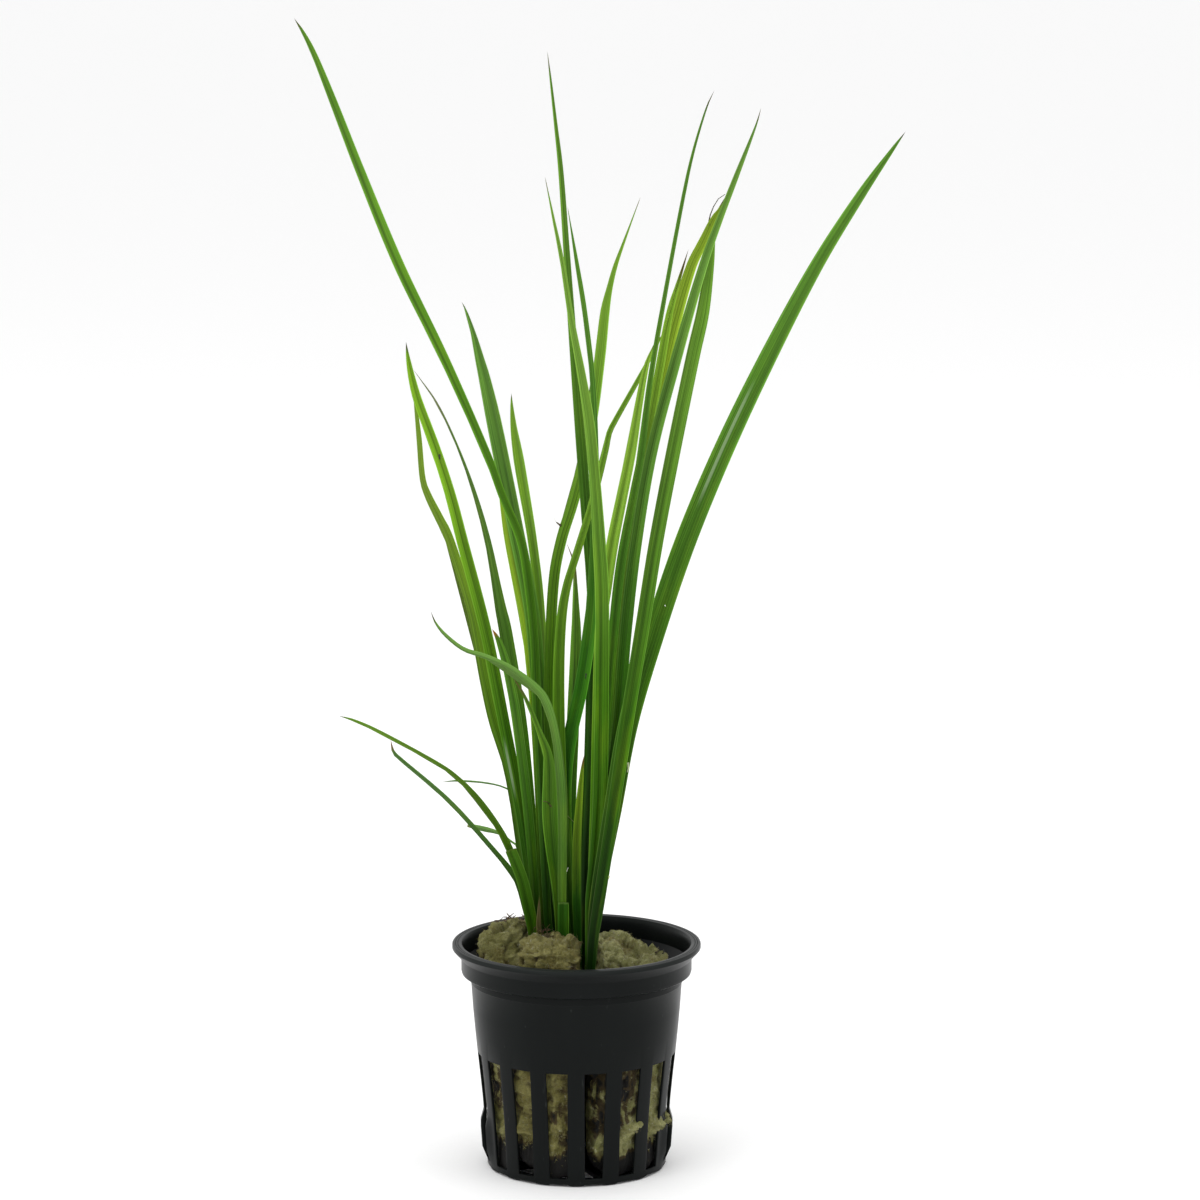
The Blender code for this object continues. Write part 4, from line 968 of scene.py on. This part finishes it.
        (-8.0, 0, 0.9), (-8.6, 52, 1.1), (-9.6, 60, 1.1), (-12.0, 70.3, 0.6), (-14.9, 73.5, 0.45),
        (-17.2, 75, 0.8), (-20.2, 75.8, 1.25), (-24.0, 76.7, 0.9)], True, dry=(1.6, "#7c8452")),
    Blade("left_leaf_threadlike", (17.2, 36.0), 0, -1, "grey", [
        (-7.7, 0, 0.8), (-8.4, 52, 1.0), (-9.2, 60, 1.0), (-11.3, 78, 0.7), (-12.8, 82.8, 0.5), (-15.4, 85, 0.4),
        (-19.7, 86.2, 0.4), (-26.1, 86.7, 0.45), (-29.7, 86.4, 0.0)]),
    Blade("dead_sheath", (5.7, 5.7), 0, 1, "brown", [
        (-7.7, 0, 1.2), (-8.3, 53, 1.2), (-8.3, 57, 0.8), (-8.2, 61, 0.0)],
        ramp=("#221f0c", "#3c381a", "#625c38")),
]


def on_sight_line(x, z, depth):
    """The point at depth y on the line from EYE through (x, 0, z)."""
    return EYE + (Vector((x, 0.0, z)) - EYE) * (1.0 - depth / EYE.y)


def spline(points, share):
    """Catmull-Rom value of a list of vectors at a share 0 to 1 of its run."""
    position = share * (len(points) - 1)
    index = min(int(position), len(points) - 2)
    t = position - index
    ends = [points[0] * 2 - points[1]] + points + [points[-1] * 2 - points[-2]]
    p0, p1, p2, p3 = ends[index:index + 4]
    return (p1 * 2 + (p2 - p0) * t + (p0 * 2 - p1 * 5 + p2 * 4 - p3) * t ** 2
            + (p1 * 3 - p0 - p2 * 3 + p3) * t ** 3) / 2


def blade_stations(blade):
    """Stations in space, each a vector (x, y, z, width), from the foot to the tip."""
    foot_depth, tip_depth, sweep = (*blade.depths, 2.0)[:3]
    foot_x, _, foot_width = blade.line[0]
    reach = max(blade.line[-1][1] - LEAF_FOOT, 1.0)
    stations = [Vector((foot_x, foot_depth, LEAF_FOOT, foot_width))]
    for x, z, width in blade.line[1:]:
        depth = blend(foot_depth, tip_depth, max(0.0, (z - LEAF_FOOT) / reach) ** sweep)
        stations.append(Vector((*on_sight_line(x, z, depth), width)))
    return stations


def blade_rows(blade):
    """Evenly spread (station, direction, length so far) rows along the blade."""
    stations = blade_stations(blade)
    fine = [spline(stations, i / FINE_STEPS) for i in range(FINE_STEPS + 1)]
    lengths = [0.0]
    for first, second in zip(fine, fine[1:]):
        lengths.append(lengths[-1] + (second.xyz - first.xyz).length)
    count = max(8, round(lengths[-1] / BLADE_ROW))
    rows = []
    pick = 0
    for row in range(count + 1):
        wanted = lengths[-1] * row / count
        while pick < FINE_STEPS and lengths[pick] < wanted - 1e-6:
            pick += 1
        before, after = fine[max(pick - 5, 0)], fine[min(pick + 5, FINE_STEPS)]
        rows.append((fine[pick], (after.xyz - before.xyz).normalized(), lengths[pick]))
    return rows


def blade_section(blade, row, total, across, front):
    """A point of the blade's skin: across runs from -1 at the left margin to 1 at the right one."""
    station, along, length = row
    turn = math.radians(blade.turn) * (length / total)
    facing = Vector((math.sin(turn), -math.cos(turn), 0.0))
    side = along.cross(facing).normalized()
    outward = side.cross(along).normalized()
    half = max(station.w, 0.12) / math.cos(turn) / 2
    fold = half * math.tan(FOLD) * (math.sqrt(across * across + 0.01) - 0.1)
    lobes = 0.10 * half * math.sin(math.pi * abs(across)) ** 2
    thick = min(0.30, 0.10 + 0.06 * station.w) * math.sqrt(max(1.0 - across * across, 0.0)) / 2 + 0.015
    return (station.xyz + side * (half * across)
            + outward * (blade.keel * (fold + lobes) + (thick if front else -thick)))


def build_blade(blade):
    """A fine grid rolled round the blade, from its left margin over the front and back behind."""
    rows = blade_rows(blade)
    total = rows[-1][2]
    finish = leaf_finish(blade, total)
    bm = bmesh.new()
    blade_map = bm.loops.layers.uv.new("blade")
    vein_map = bm.loops.layers.uv.new("veins")
    bmesh.ops.create_grid(bm, x_segments=2 * BLADE_COLUMNS, y_segments=len(rows) - 1, size=1.0)
    widest = max(row[0].w for row in rows)

    def on_blade(co, front):
        """Where a point of the flat grid comes to lie: -1 to 1 across the blade and 0 to 1 along it."""
        return (1.0 + co.x * 2.0 if front else 1.0 - co.x * 2.0), (co.y + 1.0) / 2.0

    for face in bm.faces:
        front = face.calc_center_median().x < 0.0
        for loop in face.loops:
            across, climbed = on_blade(loop.vert.co, front)
            loop[blade_map].uv = (across, climbed)
            loop[vein_map].uv = (across * widest / 2 + (0.0 if front else BACK_VEINS), climbed * total)
    for vert in bm.verts:
        front = vert.co.x <= 0.0
        across, climbed = on_blade(vert.co, front)
        row = rows[min(round(climbed * (len(rows) - 1)), len(rows) - 1)]
        if climbed > 0.9999 and not blade.blunt:
            vert.co = row[0].xyz
        else:
            vert.co = blade_section(blade, row, total, across, front)
    bmesh.ops.remove_doubles(bm, verts=bm.verts, dist=0.004)
    bmesh.ops.holes_fill(bm, edges=[e for e in bm.edges if e.is_boundary], sides=0)
    bmesh.ops.recalc_face_normals(bm, faces=bm.faces)
    skin = BVHTree.FromBMesh(bm)
    finish_piece(bm, blade.name + "_blade", finish, blade.name, 60)
    return skin


def leaf_finish(blade, total):
    """Green with parallel veins and bands, painted light and shade across the blade, a paler margin, a darker foot, a
    withered tip and on some leaves a painted sheen streak.
    """
    low, body, high = blade.ramp or TONES[blade.tone]
    dry_length, dry_colour = blade.dry
    finish = Finish(blade.name + " green")
    across, climbed = finish.map_axes("blade")
    sideways, length = finish.map_axes("veins")
    seed = sum(map(ord, blade.name)) * 0.37
    bands = finish.noise(finish.vector(sideways * 1.2, length * 0.006, seed), 1.0, 2.0)
    streaks = finish.noise(finish.vector(sideways * 3.6, length * 0.018, seed), 1.0, 3.0, 0.6)
    blotches = finish.noise(finish.vector(sideways * 0.4, length * 0.06, seed), 1.0, 3.0)
    veins = (sideways * 17.0 + bands * 3.0).sine()
    green = finish.ramp(climbed, [(0.0, low), (0.07, low), (0.36, body), (0.8, high), (1.0, high)])
    warm = finish.mix(blotches.between(0.45, 0.75) * 0.30, green, finish.mix(0.5, green, "#7d9414"))
    gain = bands * 1.1 + streaks * 1.2 + blotches * 0.4 + veins * 0.10 - 0.57
    green = finish.brighten(warm, gain)
    # Painted light and shade: lighter or darker bands across the blade from margin to margin, by the leaf's six
    # factors.
    lights = zip((0.03, 0.25, 0.45, 0.6, 0.8, 0.97), blade.bands)
    shade = finish.ramp(across * 0.5 + 0.5, [(place, (light / LIGHTEST,) * 3) for place, light in lights])
    green = finish.brighten(finish.mix(1.0, green, shade, "MULTIPLY"), LIGHTEST)
    rib = 1.0 - across.size().between(0.02, 0.10)
    green = finish.mix(rib * 0.25, green, low)
    margin = across.size().between(0.84, 0.97)
    green = finish.mix(margin * 0.06, finish.brighten(green, margin * 0.35 + 1.0), "#a9bf7c")
    # Painted sheen: a pale grey-green streak along part of the blade.
    if blade.bloom:
        middle, half, start, end = blade.bloom
        streak = 1.0 - (across - middle + (streaks - 0.5) * 0.3).size().between(half * 0.3, half)
        stretch = climbed.between(start, start + 0.04) * (1.0 - climbed.between(end - 0.04, end))
        green = finish.mix(streak * stretch * 0.5, green, "#9aae8a")
    dry = (length + (streaks - 0.5) * (dry_length * 0.8)).between(total - dry_length, total - dry_length * 0.4)
    green = finish.mix(dry * 0.92, green, dry_colour)
    finish.set("Base Color", green)
    finish.set("Roughness", streaks * 0.25 + 0.30)
    finish.set("Specular IOR Level", 0.06)
    finish.bump(veins * 0.6 + streaks, 0.35, 0.00006)
    return finish.material


def scar_finish():
    finish = Finish("scars and specks on the leaves", 0.6)
    shade = finish.attribute("shade")
    finish.set("Base Color", finish.ramp(shade, [
        (0.0, "#1b2408"), (0.3, "#4d421c"), (0.6, "#95a45c"), (1.0, "#eef4e6")]))
    return finish.material


# Small marks on the leaves: shade from dark to white, radius, and points (x, z) seen from EYE
MARKS = [
    (0.05, 0.30, [(-29.75, 159.1), (-29.65, 158.0)]),
    (0.0, 0.26, [(2.15, 110.7), (2.05, 109.5)]),
    (1.0, 0.20, [(19.4, 125.9), (19.5, 125.6)]),
    (0.95, 0.12, [(-1.85, 67.2), (-2.3, 65.9)]),
    (0.3, 0.22, [(-7.3, 82.1), (-6.5, 82.0), (-5.9, 81.4), (-5.4, 80.8)]),
    (0.45, 0.10, [(-1.9, 78.8), (-1.1, 78.0), (-0.3, 77.2)]),
    (0.7, 0.28, [(11.35, 90.8), (11.45, 89.6), (11.2, 88.6)]),
    (0.6, 0.20, [(7.15, 65.3), (7.1, 64.6)]),
    (0.3, 0.30, [(-3.3, 143.4), (-3.8, 143.8), (-4.3, 144.2)]),
]


def build_scars(skins):
    """Dark spots, pale specks, a thorn on one margin and the dried thread of a torn tip."""

    def touch(x, z):
        heading = (Vector((x, 0.0, z)) - EYE).normalized()
        hits = [skin.ray_cast(EYE, heading) for skin in skins]
        hits = [hit for hit in hits if hit[0]]
        return min(hits, key=lambda hit: hit[3])[0] if hits else None

    strands = Strands()
    for shade, radius, line in MARKS:
        points = []
        for x, z in line:
            place = touch(x, z)
            if place is None and points:
                place = on_sight_line(x, z, points[-1].y)
            if place is not None:
                points.append(place)
        if len(points) > 1:
            strands.add(points, radius, shade, 0.5)
    start = touch(28.9, 208.9)
    strands.add([start] + [on_sight_line(x, z, start.y) for x, z in (
        (28.7, 209.8), (29.0, 211.2), (29.7, 213.0), (30.7, 214.6), (32.1, 215.6))], 0.2, 0.15, 0.4)
    thorn = touch(-3.3, 143.4)
    strands.add([on_sight_line(x, z, thorn.y) for x, z in ((-4.1, 144.0), (-4.5, 144.4), (-4.8, 145.2))], 0.06, 0.5)
    strands.finish("leaf_scars", scar_finish(), "leaf_mid")


def rootstock_finish():
    finish = Finish("brown rootstock", 0.8)
    bark = finish.noise(finish.place((1.0, 1.0, 0.3)), 900.0, 5.0, 0.65)
    finish.set("Base Color", finish.mix(bark, "#3a2c18", "#6d5936"))
    finish.bump(bark, 0.6, 0.0002)
    return finish.material


def dress_crowns():
    finish = rootstock_finish()
    for node in ("crown_front", "crown_middle", "crown_left"):
        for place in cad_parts[node].material_slots:
            place.material = finish


set_camera()
light_studio()
lay_floor()
build_pot()
build_wool()
build_roots()
build_scars([build_blade(blade) for blade in BLADES])
dress_crowns()
